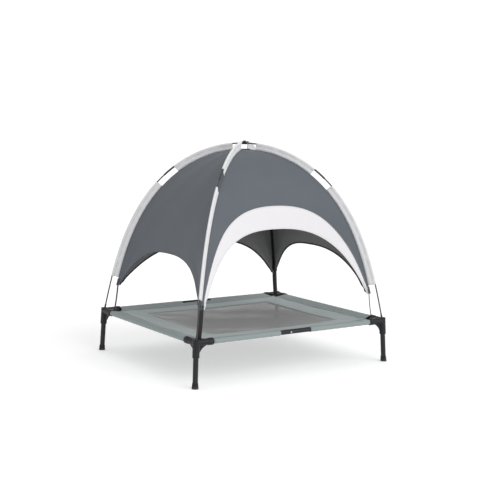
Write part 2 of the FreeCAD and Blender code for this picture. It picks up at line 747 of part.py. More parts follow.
ridge_tip = ridge_point("front_right", ridge_run(dim("tip_height")), 0)
span_x = ridge_tip.x - dim("hem_margin")
span_y = -ridge_tip.y - dim("side_margin")
foot = dim("tip_height") - 1
DOOR_POWER = 3.0
BAND_POWER = 2.9
SIDE_POWER = 2.8

front = make_panel("front_left", "front_right", Y_AXIS, dim("door_height"), dim("front_bow"))
door = arch_cutter(-Y_AXIS, span_x, foot, dim("door_height"), DOOR_POWER)
band_edge = arch_cutter(-Y_AXIS, span_x + dim("hem_margin") / 2, foot, dim("band_height"),
                        BAND_POWER)
add_feature_part("canopy_front", front.cut(band_edge))
add_feature_part("front_arch_band", front.common(band_edge).cut(door))
PANELS = [
    ("canopy_right", "front_right", "back_right", X_AXIS, span_y),
    ("canopy_back", "back_right", "back_left", Y_AXIS, ridge_tip.x - dim("side_margin")),
    ("canopy_left", "back_left", "front_left", -X_AXIS, span_y),
]
for label, left_corner, right_corner, facing, half_span in PANELS:
    panel = make_panel(left_corner, right_corner, -facing, dim("side_height"), dim("side_bow"))
    opening = arch_cutter(facing, half_span, foot, dim("side_height"), SIDE_POWER)
    add_feature_part(label, panel.cut(opening))


# ---------------------------------------------------------------- elastic straps
# A flat strap runs from each lower corner of the canopy down into the bracket's slot.
for corner_name, side_x, side_y, turn in CORNERS:
    point = out_point(corner_name)
    tip_across, tip_up, slope = mean_curve.at(ridge_run(dim("tip_height")), dim("ridge_offset"))
    hem = dim("tip_height") - rail_height - dim("end_gap")
    top = point(tip_across - dim("strap_inset"), hem)
    square_reach = dim("strap_foot") / math.sqrt(2)
    low = V(side_x * (half_length - square_reach), side_y * (half_width - square_reach),
            rail_height + dim("web_floor") + dim("strap_end_gap"))
    flat = across_diagonal(corner_name)
    along = low - top
    thick = along.cross(flat).normalize() * (fabric / 2)
    half_strap = flat * (dim("strap_width") / 2)
    corners = [top + half_strap + thick, top - half_strap + thick, top - half_strap - thick,
               top + half_strap - thick]
    outline = Part.makePolygon(corners + [corners[0]])
    add_feature_part("corner_strap_" + corner_name, Part.Face(outline).extrude(along))


# ---------------------------------------------------------------- deck
# The sling's border wraps round the rails, its corners are cut away in arcs, and a mesh
# panel is sewn into its middle, a little lower than the edge.
def rectangle(length, width, height):
    x = length / 2
    y = width / 2
    corners = [V(-x, -y, height), V(x, -y, height), V(x, y, height), V(-x, y, height)]
    return Part.makePolygon(corners + [corners[0]])


deck_top = rail_height + dim("tube_diameter") / 2 + dim("sleeve_gap") + dim("sleeve_wall")
edge_length = dim("bed_length") - 2 * dim("border_inset")
edge_width = dim("bed_width") - 2 * dim("border_inset")
mesh_length = dim("mesh_length")
mesh_width = dim("mesh_width")
mesh_top = deck_top - dim("deck_sag")
border_thickness = dim("border_thickness")
funnels = []
for drop in (0, border_thickness):
    upper = rectangle(edge_length, edge_width, deck_top - drop)
    lower = rectangle(mesh_length, mesh_width, mesh_top - drop)
    funnels.append(Part.makeLoft([lower, upper], True, True))
mesh_cut = Part.makeBox(mesh_length, mesh_width, 2 * rail_height,
                        V(-mesh_length / 2, -mesh_width / 2, 0))
border = funnels[1].cut(funnels[0]).cut(mesh_cut)
rail_radius = dim("tube_diameter") / 2 + dim("sleeve_gap")
sleeve_radius = rail_radius + dim("sleeve_wall")
sleeves = []
bores = []
for side in (-1, 1):
    long_start = V(-half_length, side * half_width, rail_height)
    side_start = V(side * half_length, -half_width, rail_height)
    sleeves.append(Part.makeCylinder(sleeve_radius, dim("bed_length"), long_start, X_AXIS))
    sleeves.append(Part.makeCylinder(sleeve_radius, dim("bed_width"), side_start, Y_AXIS))
    bores.append(Part.makeCylinder(rail_radius, dim("bed_length"), long_start, X_AXIS))
    bores.append(Part.makeCylinder(rail_radius, dim("bed_width"), side_start, Y_AXIS))
sling = border.fuse(sleeves).cut(bores)
for corner_name, side_x, side_y, turn in CORNERS:
    place = V(side_x * half_length, side_y * half_width, 0)
    sling = sling.cut(Part.makeCylinder(dim("corner_cut"), 2 * rail_height, place))
for side in (-1, 1):
    depth = dim("notch_depth") * 2
    notch_start = V(-dim("notch_length") / 2, side * half_width - depth / 2, 0)
    sling = sling.cut(Part.makeBox(dim("notch_length"), depth, 2 * rail_height, notch_start))
add_feature_part("deck_sling", sling.removeSplitter())
mesh_corner = V(-mesh_length / 2, -mesh_width / 2, mesh_top - border_thickness)
add_feature_part("deck_mesh", Part.makeBox(mesh_length, mesh_width, border_thickness, mesh_corner))


# ---------------------------------------------------------------- checks and files
doc.recompute()
for item in doc.Objects:
    if "Invalid" in item.State or "Error" in item.State:
        raise RuntimeError(f"{item.Label} failed: {item.State}")
for item in doc.Objects:
    if item.TypeId == "PartDesign::Pocket":
        base = item.BaseFeature.Shape.Volume
        if item.Shape.Volume > base - 1:
            raise RuntimeError(f"{item.Label} of {item.getParent()} cuts nothing")
os.makedirs("parts", exist_ok=True)
for item in parts:
    shape = item.Shape
    if shape.isNull() or not shape.isValid():
        raise RuntimeError(f"{item.Label} has no valid shape")
    shape.exportStep(f"parts/{item.Label}.step")
    box = shape.BoundBox
    print(f"{item.Label:28s} solids {len(shape.Solids)} volume {shape.Volume:10.1f} "
          f"z {box.ZMin:7.2f} {box.ZMax:7.2f}")
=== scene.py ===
# Looks of the raised dog bed with a lift-off canopy. Everything is in metres, in the frame
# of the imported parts: +Z up, the floor at zero, the banded front arch towards -Y.
import math
import bmesh
import bpy
import numpy as np
from mathutils import Matrix, Vector


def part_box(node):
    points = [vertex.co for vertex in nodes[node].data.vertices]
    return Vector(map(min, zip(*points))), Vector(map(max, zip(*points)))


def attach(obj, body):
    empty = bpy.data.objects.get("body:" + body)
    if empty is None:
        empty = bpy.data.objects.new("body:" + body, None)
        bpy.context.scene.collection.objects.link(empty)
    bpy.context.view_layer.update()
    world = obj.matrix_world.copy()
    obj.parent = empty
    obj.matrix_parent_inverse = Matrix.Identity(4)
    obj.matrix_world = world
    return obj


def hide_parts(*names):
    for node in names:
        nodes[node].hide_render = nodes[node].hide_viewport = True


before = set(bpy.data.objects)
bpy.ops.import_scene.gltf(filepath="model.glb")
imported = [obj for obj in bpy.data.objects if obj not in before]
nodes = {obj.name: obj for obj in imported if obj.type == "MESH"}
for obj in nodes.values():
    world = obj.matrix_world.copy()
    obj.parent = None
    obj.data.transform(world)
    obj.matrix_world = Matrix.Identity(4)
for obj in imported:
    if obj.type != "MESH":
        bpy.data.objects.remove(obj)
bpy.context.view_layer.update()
scene = bpy.context.scene

# ---------------------------------------------------------------- camera, floor and light
# A long lens looks slightly down on the front left corner. The bed stands on a seamless
# white light table, which glows a little. The room is white at the horizon, dimmer higher
# up, with a wide soft box overhead and one soft sun from the front right.


def add_object(name, data):
    """Puts an object into the scene."""
    thing = bpy.data.objects.new(name, data)
    scene.collection.objects.link(thing)
    return thing


camera_data = bpy.data.cameras.new("studio_camera")
camera_data.lens = 76.9
camera_data.sensor_width = 36.0
camera_data.clip_end = 50.0
camera = add_object("studio_camera", camera_data)
scene.camera = camera
camera_place = (-2.019, -3.016, 0.820)
camera_turn = math.radians(-34.2)
camera_drop = math.radians(7.1)
camera_roll = math.radians(1.0)
ahead = Vector((-math.sin(camera_turn) * math.cos(camera_drop),
                math.cos(camera_turn) * math.cos(camera_drop), -math.sin(camera_drop)))
look = ahead.to_track_quat("-Z", "Y") @ Matrix.Rotation(camera_roll, 3, "Z").to_quaternion()
camera.rotation_mode = "QUATERNION"
camera.rotation_quaternion = look
camera.location = camera_place

floor_half = 30.0
floor_mesh = bpy.data.meshes.new("studio_floor")
floor_mesh.from_pydata([(-floor_half, -floor_half, 0), (floor_half, -floor_half, 0),
                        (floor_half, floor_half, 0), (-floor_half, floor_half, 0)],
                       [], [(0, 1, 2, 3)])
studio_floor = add_object("studio_floor", floor_mesh)
floor_paint = bpy.data.materials.new("studio_floor")
floor_paint.use_nodes = True
floor_surface = floor_paint.node_tree.nodes["Principled BSDF"]
floor_surface.inputs["Base Color"].default_value = (0.70, 0.70, 0.70, 1)
floor_surface.inputs["Emission Color"].default_value = (1.0, 1.0, 1.0, 1)
floor_surface.inputs["Emission Strength"].default_value = 0.38
floor_surface.inputs["Roughness"].default_value = 0.9
floor_mesh.materials.append(floor_paint)

scene.view_settings.view_transform = "Standard"
world = bpy.data.worlds.new("studio")
world.use_nodes = True
scene.world = world
room = world.node_tree
room_links = room.links
directions = room.nodes.new("ShaderNodeTexCoord")
split = room.nodes.new("ShaderNodeSeparateXYZ")
room_links.new(directions.outputs["Generated"], split.inputs["Vector"])
tones = room.nodes.new("ShaderNodeValToRGB")
room_links.new(split.outputs["Z"], tones.inputs["Fac"])
room_tones = ((0.0, 1.0), (0.14, 1.0), (0.34, 0.52), (0.62, 0.60), (0.85, 0.92))
ramp = tones.color_ramp.elements
while len(ramp) < len(room_tones):
    ramp.new(1)
for stop, (place, tone) in zip(ramp, room_tones):
    stop.position = place
    stop.color = (tone, tone, tone, 1)
room_links.new(tones.outputs["Color"], room.nodes["Background"].inputs["Color"])
room.nodes["Background"].inputs["Strength"].default_value = 1.04

sun = bpy.data.lights.new("soft_sun", "SUN")
sun.energy = 1.45
sun.angle = math.radians(50)
sun_direction = Vector((-0.30, 0.85, -0.55))
sunlight = add_object("soft_sun", sun)
sunlight.rotation_euler = sun_direction.to_track_quat("-Z", "Y").to_euler()

# ---------------------------------------------------------------- tubes
# Legs and rails are straight thin steel tube, cut to length and powder coated satin black.
# The coat has a faint orange peel, and is rubbed a little brighter in small patches.


class Signal:
    """One output of a node tree. Arithmetic on it adds Math nodes."""

    def __init__(self, tree, socket):
        self.tree = tree
        self.socket = socket

    def math(self, operation, *values):
        return add_node(self.tree, "ShaderNodeMath", {"operation": operation},
                        dict(enumerate(values)))

    def floor(self):
        return self.math("FLOOR", self)

    def sine(self):
        return self.math("SINE", self)

    def at_least(self, least):
        return self.math("MAXIMUM", self, least)

    def at_most(self, most):
        return self.math("MINIMUM", self, most)

    def __add__(self, other):
        return self.math("ADD", self, other)

    def __radd__(self, other):
        return self.math("ADD", other, self)

    def __sub__(self, other):
        return self.math("SUBTRACT", self, other)

    def __rsub__(self, other):
        return self.math("SUBTRACT", other, self)

    def __mul__(self, other):
        return self.math("MULTIPLY", self, other)

    def __rmul__(self, other):
        return self.math("MULTIPLY", other, self)

    def __truediv__(self, other):
        return self.math("DIVIDE", self, other)

    def __pow__(self, other):
        return self.math("POWER", self, other)

    def __gt__(self, other):
        return self.math("GREATER_THAN", self, other)

    def __lt__(self, other):
        return self.math("LESS_THAN", self, other)


def add_node(tree, kind, settings=None, sockets=None, output=0):
    """Adds a node: its settings first, then the value or link of each named socket."""
    node = tree.nodes.new(kind)
    for name, value in (settings or {}).items():
        setattr(node, name, value)
    for name, value in (sockets or {}).items():
        if isinstance(value, Signal):
            tree.links.new(value.socket, node.inputs[name])
        else:
            node.inputs[name].default_value = value
    return Signal(tree, node.outputs[output])


def place_on(tree):
    """Where a point is on its object, in metres."""
    return add_node(tree, "ShaderNodeTexCoord", output="Object")


def one_axis(tree, vector, axis):
    """The X, Y or Z of a vector."""
    return add_node(tree, "ShaderNodeSeparateXYZ", {}, {"Vector": vector}, axis)


def stretched(tree, vector, scales):
    """A place scaled by its own number along each axis."""
    return add_node(tree, "ShaderNodeMapping", {}, {"Vector": vector, "Scale": scales}, "Vector")


def blended(tree, factor, first, second):
    """A colour between two colours; each is a tuple or a signal."""
    values = {0: factor}
    for place, colour in ((6, first), (7, second)):
        values[place] = colour if isinstance(colour, Signal) else (*colour, 1)
    return add_node(tree, "ShaderNodeMix", {"data_type": "RGBA"}, values, 2)


def cloudy(tree, where, scale, detail=3.0, sharpness=0.5):
    """Smooth noise from 0 to 1 at so many features to the metre."""
    return add_node(tree, "ShaderNodeTexNoise", {},
                    {"Vector": where, "Scale": scale, "Detail": detail,
                     "Roughness": sharpness}, "Fac")


def new_finish(name, **constants):
    """A material with its shader's plain settings; returns it, its tree and its shader."""
    finish = bpy.data.materials.new(name)
    finish.use_nodes = True
    shader = finish.node_tree.nodes["Principled BSDF"]
    for socket, value in constants.items():
        shader.inputs[socket.replace("_", " ").title().replace("Ior", "IOR")].default_value = value
    return finish, finish.node_tree, shader


def connect(tree, shader, **signals):
    """Links signals to the sockets of a shader by their names."""
    for socket, signal in signals.items():
        tree.links.new(signal.socket, shader.inputs[socket.replace("_", " ").title()])


def raised_by(tree, height, distance, strength=1.0):
    """The Normal that a height pattern gives; distance is its real depth."""
    return add_node(tree, "ShaderNodeBump", {},
                    {"Height": height, "Distance": distance, "Strength": strength}, "Normal")


def powder_coat():
    finish, tree, shader = new_finish("powder_coat", specular_ior_level=0.32)
    where = place_on(tree)
    peel = cloudy(tree, where, 900, 2)
    rub = cloudy(tree, where, 26, 5, 0.65)
    scuffs = (rub - 0.56).at_least(0) * 4
    colour = blended(tree, scuffs, (0.011, 0.011, 0.012), (0.045, 0.045, 0.046))
    connect(tree, shader, base_color=colour, roughness=0.34 + peel * 0.08 + scuffs * 0.25,
            normal=raised_by(tree, peel, 0.00006, 0.5))
    return finish


def dress(finish, *names):
    """Gives CAD nodes a material. Their shape stays as it is."""
    for name in names:
        node = nodes[name]
        node.data.materials.clear()
        node.data.materials.append(finish)
        for face in node.data.polygons:
            face.material_index = 0


corners = ("front_left", "front_right", "back_right", "back_left")
tube_names = ["side_rail_left", "side_rail_right", "front_rail_left", "front_rail_right",
              "back_rail_left", "back_rail_right"]
tube_names += ["leg_tube_" + corner for corner in corners]
dress(powder_coat(), *tube_names)

# ---------------------------------------------------------------- joiners and snap buttons
# A plain drawn steel tube joins the halves of each long rail, and a zinc plated button on a
# spring leaf locks them. Both keep the fine lines of drawing and a soft metal shine.


def drawn_steel(name, tone, roughness):
    finish, tree, shader = new_finish(name, metallic=1.0)
    where = place_on(tree)
    lines = cloudy(tree, stretched(tree, where, (40, 900, 900)), 1.0, 3)
    tarnish = cloudy(tree, where, 60, 4)
    bright = (tone, tone, tone * 1.02)
    dull = (tone * 0.7, tone * 0.68, tone * 0.66)
    colour = blended(tree, tarnish, bright, dull)
    connect(tree, shader, base_color=colour, roughness=roughness + lines * 0.15,
            normal=raised_by(tree, lines, 0.00003, 0.4))
    return finish


dress(drawn_steel("drawn_steel", 0.55, 0.3), "front_rail_joiner", "back_rail_joiner")
dress(drawn_steel("zinc_plate", 0.66, 0.22), "front_snap_button", "back_snap_button")

# ---------------------------------------------------------------- corner brackets and clip
# Brackets and the crossing clip are injection moulded black nylon with a fine spark-eroded
# texture and a few specks of dust.


def moulded_nylon():
    finish, tree, shader = new_finish("moulded_nylon", specular_ior_level=0.24)
    where = place_on(tree)
    grain = cloudy(tree, where, 1500, 2, 0.6)
    flow = cloudy(tree, where, 18, 3)
    dust = cloudy(tree, where, 90, 6, 0.7)
    colour = blended(tree, flow, (0.009, 0.009, 0.011), (0.017, 0.017, 0.020))
    dusty = blended(tree, (dust > 0.62) * 0.2, colour, (0.06, 0.058, 0.056))
    connect(tree, shader, base_color=dusty, roughness=0.33 + grain * 0.16,
            normal=raised_by(tree, grain, 0.00009, 0.6))
    return finish


dress(moulded_nylon(), "crossing_clip", *["corner_bracket_" + corner for corner in corners])

# ---------------------------------------------------------------- feet
# Soft black rubber caps pushed over the leg ends. They bell out at the floor, and carry a
# little pale dust low down.


def foot_rubber():
    finish, tree, shader = new_finish("foot_rubber", specular_ior_level=0.3)
    where = place_on(tree)
    height = one_axis(tree, where, "Z")
    speckle = cloudy(tree, where, 700, 4, 0.7)
    near_floor = (1 - height * 120).at_least(0)
    colour = blended(tree, near_floor * speckle, (0.016, 0.016, 0.016), (0.12, 0.115, 0.11))
    connect(tree, shader, base_color=colour, roughness=0.72 + speckle * 0.15,
            normal=raised_by(tree, speckle, 0.00012, 0.5))
    return finish


dress(foot_rubber(), *["foot_cap_" + corner for corner in corners])

# ---------------------------------------------------------------- poles, joints and tips
# Two poles of pultruded black fibreglass, each in three sections. Plated steel ferrules
# join the sections, and a steel tip closes each end and stands in its bracket's socket.


def fibreglass():
    finish, tree, shader = new_finish("fibreglass", coat_weight=0.4, coat_roughness=0.12)
    where = place_on(tree)
    fibres = cloudy(tree, where, 420, 5, 0.6)
    colour = blended(tree, fibres, (0.010, 0.010, 0.011), (0.035, 0.034, 0.033))
    connect(tree, shader, base_color=colour, roughness=0.26 + fibres * 0.15,
            normal=raised_by(tree, fibres, 0.00004, 0.4))
    return finish


over_corners = ("front_left", "back_right")
pole_names = ["pole_over_middle", "pole_under_middle"]
for corner in corners:
    layer = "over" if corner in over_corners else "under"
    pole_names.append(f"pole_{layer}_{corner}")
dress(fibreglass(), *pole_names)
fitting_names = [f"pole_{kind}_{corner}" for corner in corners for kind in ("joint", "tip")]
dress(drawn_steel("blackened_steel", 0.10, 0.34), *fitting_names)

# ---------------------------------------------------------------- canopy cloth
# Four panels of dark slate polyester taffeta. Each runs from the crossing down between two
# ridges, is drawn in below its middle by the tension of the cloth, and ends in an arch. The
# poles give the ridges their curve: a rod bent between two pinned ends, whose curvature at
# any point is proportional to its height above the ends.
rail_low, rail_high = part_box("side_rail_right")
tube_radius = (rail_high.x - rail_low.x) / 2
half_length = (rail_high.x + rail_low.x) / 2
rail_axis = (rail_high.z + rail_low.z) / 2
front_low, front_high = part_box("front_rail_left")
half_width = -(front_low.y + front_high.y) / 2
half_diagonal = math.hypot(half_length, half_width)
corner_sides = {"front_left": (-1, -1), "front_right": (1, -1), "back_right": (1, 1),
                "back_left": (-1, 1)}
corner_out = {corner: np.array((side_x * half_length, side_y * half_width, 0)) / half_diagonal
              for corner, (side_x, side_y) in corner_sides.items()}
pole_radius = 0.00225
over_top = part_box("pole_over_middle")[1].z - pole_radius
under_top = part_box("pole_under_middle")[1].z - pole_radius
crossing = (over_top + under_top) / 2
ridge_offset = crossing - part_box("canopy_left")[1].z
tip_height = 0.231
pucker_pitch = 0.021
pucker_depth = 0.00045
tip_fold_depth = 0.0022
slack_depth = 0.0011


class BentPole:
    """Points of half a pole, from its middle down to its pinned end."""

    STEPS = 1600
    HALVINGS = 50

    def __init__(self, top):
        low, high = 1.0, 12.0
        for _ in range(self.HALVINGS):
            stiffness = (low + high) / 2
            self.lay(stiffness, top - rail_axis)
            if self.across[-1] > half_diagonal:
                low = stiffness
            else:
                high = stiffness

    def lay(self, stiffness, rise):
        """Follows the rod from its middle until it is back at the level of its ends."""
        step = rise * 1.6 / self.STEPS
        across, up, slope = [0.0], [rise], [0.0]
        while up[-1] > 0:
            middle = slope[-1] + stiffness * up[-1] * step / 2
            across.append(across[-1] + math.cos(middle) * step)
            up.append(up[-1] - math.sin(middle) * step)
            slope.append(slope[-1] + stiffness * max(up[-1], 0) * step)
        self.across = np.array(across)
        self.up = np.array(up)
        self.slope = np.array(slope)
        self.run = np.arange(len(across)) * step

    def at(self, run, inward=0.0):
        """Distance out from the middle, height, and slope, at a length along the pole."""
        slope = np.interp(run, self.run, self.slope)
        across = np.interp(run, self.run, self.across) - inward * np.sin(slope)
        up = np.interp(run, self.run, self.up) - inward * np.cos(slope)
        return across, up + rail_axis, slope

    def run_at_height(self, height, inward=0.0):
        ups = self.up + rail_axis - inward * np.cos(self.slope)
        return float(np.interp(-height, -ups, self.run))

    def run_at_across(self, across):
        return float(np.interp(across, self.across, self.run))


mean_pole = BentPole(crossing)
ridge_end = mean_pole.run_at_height(tip_height, ridge_offset)
ridge_across = mean_pole.at(ridge_end, ridge_offset)[0]


class Panel:
    """The curved surface of one canopy panel. share runs from -1 to 1 between its ridges."""

    def __init__(self, name, facing, sideways, out, half_side, arch_top, bow):
        self.name = name
        self.facing = np.array(facing, float)
        self.sideways = np.array(sideways, float)
        self.out = out / half_diagonal
        self.side = half_side / half_diagonal
        self.arch_top = arch_top
        self.bow = bow

    def smooth(self, share, run):
        """The taut cloth. It is drawn in by the bow at the arch's top, and by little more below."""
        share, run = np.broadcast_arrays(np.asarray(share, float), np.asarray(run, float))
        across, up, _ = mean_pole.at(run, ridge_offset)
        fall = (crossing - up) / (crossing - self.arch_top)
        levelling = (1 - np.exp(-1.61 * fall ** 4)) * 1.25
        draw = self.bow * levelling * (1 - share ** 2)
        outward = (across * self.out - draw)[..., None] * self.facing
        level = (across * self.side * share)[..., None] * self.sideways
        return outward + level + up[..., None] * np.array((0, 0, 1.0))

    def normal(self, share, run):
        """The outward direction off the taut cloth."""
        step = 1e-3
        down = self.smooth(share, run + step) - self.smooth(share, run - step)
        level = self.smooth(share + step, run) - self.smooth(share - step, run)
        square = np.cross(level, down)
        square /= np.linalg.norm(square, axis=-1)[..., None] + 1e-12
        turned = np.sign((square @ self.facing) + square[..., 2] * 0.5)
        return square * turned[..., None]

    def folds(self, share, run):
        """Soft relief of the sewn cloth: puckers by the seams and slack folds between."""
        reach = mean_pole.at(run, ridge_offset)[0] * self.side
        from_ridge = (1 - np.abs(share)) * reach
        seed = len(self.name) * 1.7 + self.facing[0] * 2.3 + self.facing[1]
        pucker = np.sin(run * 2 * math.pi / pucker_pitch + 2.0 * np.sin(run * 31 + seed))
        relief = pucker_depth * pucker * np.exp(-from_ridge / 0.010)
        fan = np.arctan2(from_ridge, np.maximum(ridge_end - run, 1e-4))
        near_tip = np.exp(-np.hypot(from_ridge, ridge_end - run) / 0.11)
        relief += tip_fold_depth * near_tip * np.sin(fan * 15 + seed) * np.minimum(fan * 3, 1)
        slack = np.sin(share * 5.1 + run * 7 + seed) * np.sin(run * 11 + share * 3.3 + seed * 2)
        relief += slack_depth * slack * np.minimum(from_ridge / 0.08, 1)
        return relief * np.minimum(from_ridge / 0.004, 1)

    def place(self, share, run, lift=0.0):
        """The sewn cloth, lifted off its face by so much."""
        share, run = np.broadcast_arrays(np.asarray(share, float), np.asarray(run, float))
        height = self.folds(share, run) + lift
        return self.smooth(share, run) + self.normal(share, run) * height[..., None]

    def arch_run(self, share, half_span, top, round_top, square_foot):
        """For each share, how far down the panel its edge lies under an arch.

        The arch is rounder at its top and squarer by its feet, as round_top and square_foot
        give."""
        foot = tip_height - 0.001
        runs = np.linspace(0.05, ridge_end, 900)
        across, up, _ = mean_pole.at(runs, ridge_offset)
        found = []
        for value in np.atleast_1d(share):
            level = np.minimum(np.abs(across * self.side * value) / half_span, 1)
            power = round_top + (square_foot - round_top) * level
            arch = foot + (top - foot) * (1 - level ** power)
            gap = up - arch
            below = np.nonzero(gap < 0)[0]
            if len(below) == 0:
                found.append(ridge_end)
                continue
            low = below[0]
            part = gap[low - 1] / (gap[low - 1] - gap[low])
            found.append(runs[low - 1] + part * (runs[low] - runs[low - 1]))
        return np.array(found)

    def spot(self, level, run, lift=0.0):
        """A place on the sewn cloth, so far level from the panel's middle line."""
        reach = mean_pole.at(run, ridge_offset)[0] * self.side
        return self.place(np.clip(level / reach, -1, 1), run, lift)


door_height = 0.458
band_height = 0.529
side_height = 0.372
hem_margin = 0.012
side_margin = 0.012
side_bow = 0.015
panels = {
    "front": Panel("front", (0, -1, 0), (1, 0, 0), half_width, half_length, door_height, 0.038),
    "right": Panel("right", (1, 0, 0), (0, 1, 0), half_length, half_width, side_height, side_bow),
    "back": Panel("back", (0, 1, 0), (-1, 0, 0), half_width, half_length, side_height, side_bow),
    "left": Panel("left", (-1, 0, 0), (0, -1, 0), half_length, half_width, side_height, side_bow),
}
door_shape = (2.6, 3.4)
band_shape = (2.5, 3.6)
side_shape = (2.8, 2.8)
near_front_shape = (2.5, 3.5)
near_front_margin = 0.020


def cloth_place(tree):
    """Where a point is on its flat cloth, in metres."""
    return add_node(tree, "ShaderNodeUVMap", {"uv_map": "cloth"}, output="UV")


def weave(tree, cloth, pitch):
    """Plain weave: the height of the yarns and which of the two yarns is on top."""
    across = one_axis(tree, cloth, "X") / pitch
    along = one_axis(tree, cloth, "Y") / pitch
    column = across.floor()
    row = along.floor()
    over = (column + row).math("PINGPONG", column + row, 1.0)
    side = across - column - 0.5
    rise = along - row - 0.5
    round_side = 1 - side * side * 4
    round_rise = 1 - rise * rise * 4
    height = over * round_side + (1 - over) * round_rise
    return height, over


def woven(name, light, dark, pitch, roughness, sheen=0.3, mottle=0.25, depth=0.00012):
    """Cloth of plain weave: two yarn tones, a slow drift of tone and a soft nap."""
    finish, tree, shader = new_finish(name, sheen_weight=sheen, sheen_roughness=0.45,
                                      specular_ior_level=0.3)
    cloth = cloth_place(tree)
    height, over = weave(tree, cloth, pitch)
    drift = cloudy(tree, cloth, 9, 4, 0.55)
    slub = cloudy(tree, stretched(tree, cloth, (60, 900, 1)), 1.0, 3)
    tone = over * 0.35 + drift * mottle * 2 + slub * 0.3 - 0.2 + height * 0.15
    colour = blended(tree, tone.at_most(1.0), dark, light)
    connect(tree, shader, base_color=colour, roughness=roughness + slub * 0.12,
            normal=raised_by(tree, height + slub * 0.5, depth, 0.55))
    return finish


weld_distance = 0.00002


def new_cloth(name, grids, finish, thickness, outward=None, closed=False):
    """Sheets through grids of (points, cloth coordinates in metres), sewn into one piece."""
    points, flat, faces = [], [], []
    for grid, cloth in grids:
        base = len(points)
        rows, columns = grid.shape[:2]
        last = columns if closed else columns - 1
        for row in range(rows - 1):
            for column in range(last):
                right = (column + 1) % columns
                faces.append((base + row * columns + column, base + row * columns + right,
                              base + (row + 1) * columns + right, base + (row + 1) * columns + column))
        points += grid.reshape(-1, 3).tolist()
        flat += cloth.reshape(-1, 2).tolist()
    mesh = bpy.data.meshes.new(name)
    mesh.from_pydata(points, [], faces)
    layer = mesh.uv_layers.new(name="cloth")
    loops = np.zeros(len(mesh.loops), np.int32)
    mesh.loops.foreach_get("vertex_index", loops)
    layer.data.foreach_set("uv", np.array(flat, np.float32)[loops].ravel())
    shell = bmesh.new()
    shell.from_mesh(mesh)
    bmesh.ops.remove_doubles(shell, verts=shell.verts, dist=weld_distance)
    bmesh.ops.recalc_face_normals(shell, faces=shell.faces)
    if outward is not None:
        facing = Vector(outward)
        if sum(face.normal.dot(facing) * face.calc_area() for face in shell.faces) < 0:
            bmesh.ops.reverse_faces(shell, faces=shell.faces)
    shell.to_mesh(mesh)
    shell.free()
    mesh.polygons.foreach_set("use_smooth", [True] * len(mesh.polygons))
    mesh.materials.append(finish)
    piece = add_object(name, mesh)
    double = piece.modifiers.new("thickness", "SOLIDIFY")
    double.thickness = thickness
    double.offset = 0.0
    return piece


slate_cloth = woven("slate_taffeta", (0.112, 0.127, 0.147), (0.078, 0.089, 0.104), 0.0006, 0.55,
                    sheen=0.12, mottle=0.2)
coated_side = woven("grey_coating", (0.20, 0.20, 0.20), (0.165, 0.165, 0.166), 0.0006, 0.42,
                    sheen=0.0, mottle=0.15, depth=0.00005)
cloth_thickness = 0.0006
crown_run = 0.0015


def half_span(panel):
    return ridge_across * panel.side - (hem_margin if panel.name == "front" else side_margin)


def hem_run(panel, shares):
    """The lower edge of a panel. The side arches are squarer where they near the front."""
    if panel.name == "front":
        return panel.arch_run(shares, half_span(panel), panel.arch_top, *door_shape)
    runs = panel.arch_run(shares, half_span(panel), panel.arch_top, *side_shape)
    near_span = ridge_across * panel.side - near_front_margin
    near = panel.arch_run(shares, near_span, panel.arch_top, *near_front_shape)
    return np.where(np.atleast_1d(shares) * panel.sideways[1] < 0, near, runs)


def band_run(panel, shares):
    """The outer edge of the pale band."""
    return panel.arch_run(shares, half_span(panel) + hem_margin / 2, band_height, *band_shape)


def panel_columns(count):
    """Shares across a panel, closer together towards its ridges."""
    even = np.linspace(-1, 1, count)
    return np.sin(even * math.pi / 2) * 0.6 + even * 0.4


def lay_panel(panel, name, top_run, low_run, shares, rows, finish, lift=0.0):
    """A sewn panel between two lines down the canopy, given for each share."""
    down = np.linspace(0, 1, rows)[:, None]
    runs = top_run[None, :] + (low_run - top_run)[None, :] * down
    share_grid = np.broadcast_to(shares[None, :], runs.shape)
    points = panel.place(share_grid, runs, lift)
    across = mean_pole.at(runs, ridge_offset)[0]
    cloth = np.stack([share_grid * across * panel.side + 2, runs + 1], axis=-1)
    outward = panel.facing + np.array((0, 0, 0.5))
    return new_cloth(name, [(points, cloth)], finish, cloth_thickness, outward)


def finish_piece(piece, body, slot, *hidden):
    """Gives a piece the body it moves with, and hides the parts that it stands for. slot is not used.
    """
    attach(piece, body)
    if hidden:
        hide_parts(*hidden)


canopy_pieces = {}
panel_rows = 110
shares = panel_columns(121)
for panel in panels.values():
    start = np.full(len(shares), crown_run)
    edge = band_run(panel, shares) if panel.name == "front" else hem_run(panel, shares)
    piece = lay_panel(panel, panel.name + "_panel", start, edge, shares, panel_rows, slate_cloth)
    piece.data.materials.append(coated_side)
    piece.modifiers["thickness"].material_offset = 1
    finish_piece(piece, "canopy", "canopy_fabric", "canopy_" + panel.name)
    canopy_pieces[panel.name] = piece

# ---------------------------------------------------------------- pale band
# An off-white band of the same cloth is sewn over the lower edge of the front panel and
# carries the front arch. Its outer edge is turned under and topstitched, its inner edge is
# a narrow rolled hem.
pale_cloth = woven("pale_taffeta", (0.735, 0.72, 0.735), (0.645, 0.635, 0.65), 0.0006, 0.6,
                   sheen=0.1, mottle=0.1)
front = panels["front"]
band_overlap = 0.006
band_shares = shares * (half_span(front) + hem_margin / 2) / (ridge_across * front.side)
band_top = band_run(front, band_shares)
band_low = hem_run(front, band_shares)
least_band = 0.004
over_panel = 0.0008
band_start = np.minimum(band_top - band_overlap, band_low - least_band)
band = lay_panel(front, "pale_band", band_start, band_low, band_shares, 40, pale_cloth, over_panel)
finish_piece(band, "canopy", "pale_fabric", "front_arch_band")

# ---------------------------------------------------------------- hems and bindings
# The side and back arches are bound on the inside with a narrow black tape. The band's own
# edge is rolled to the inside instead, in its own cloth.


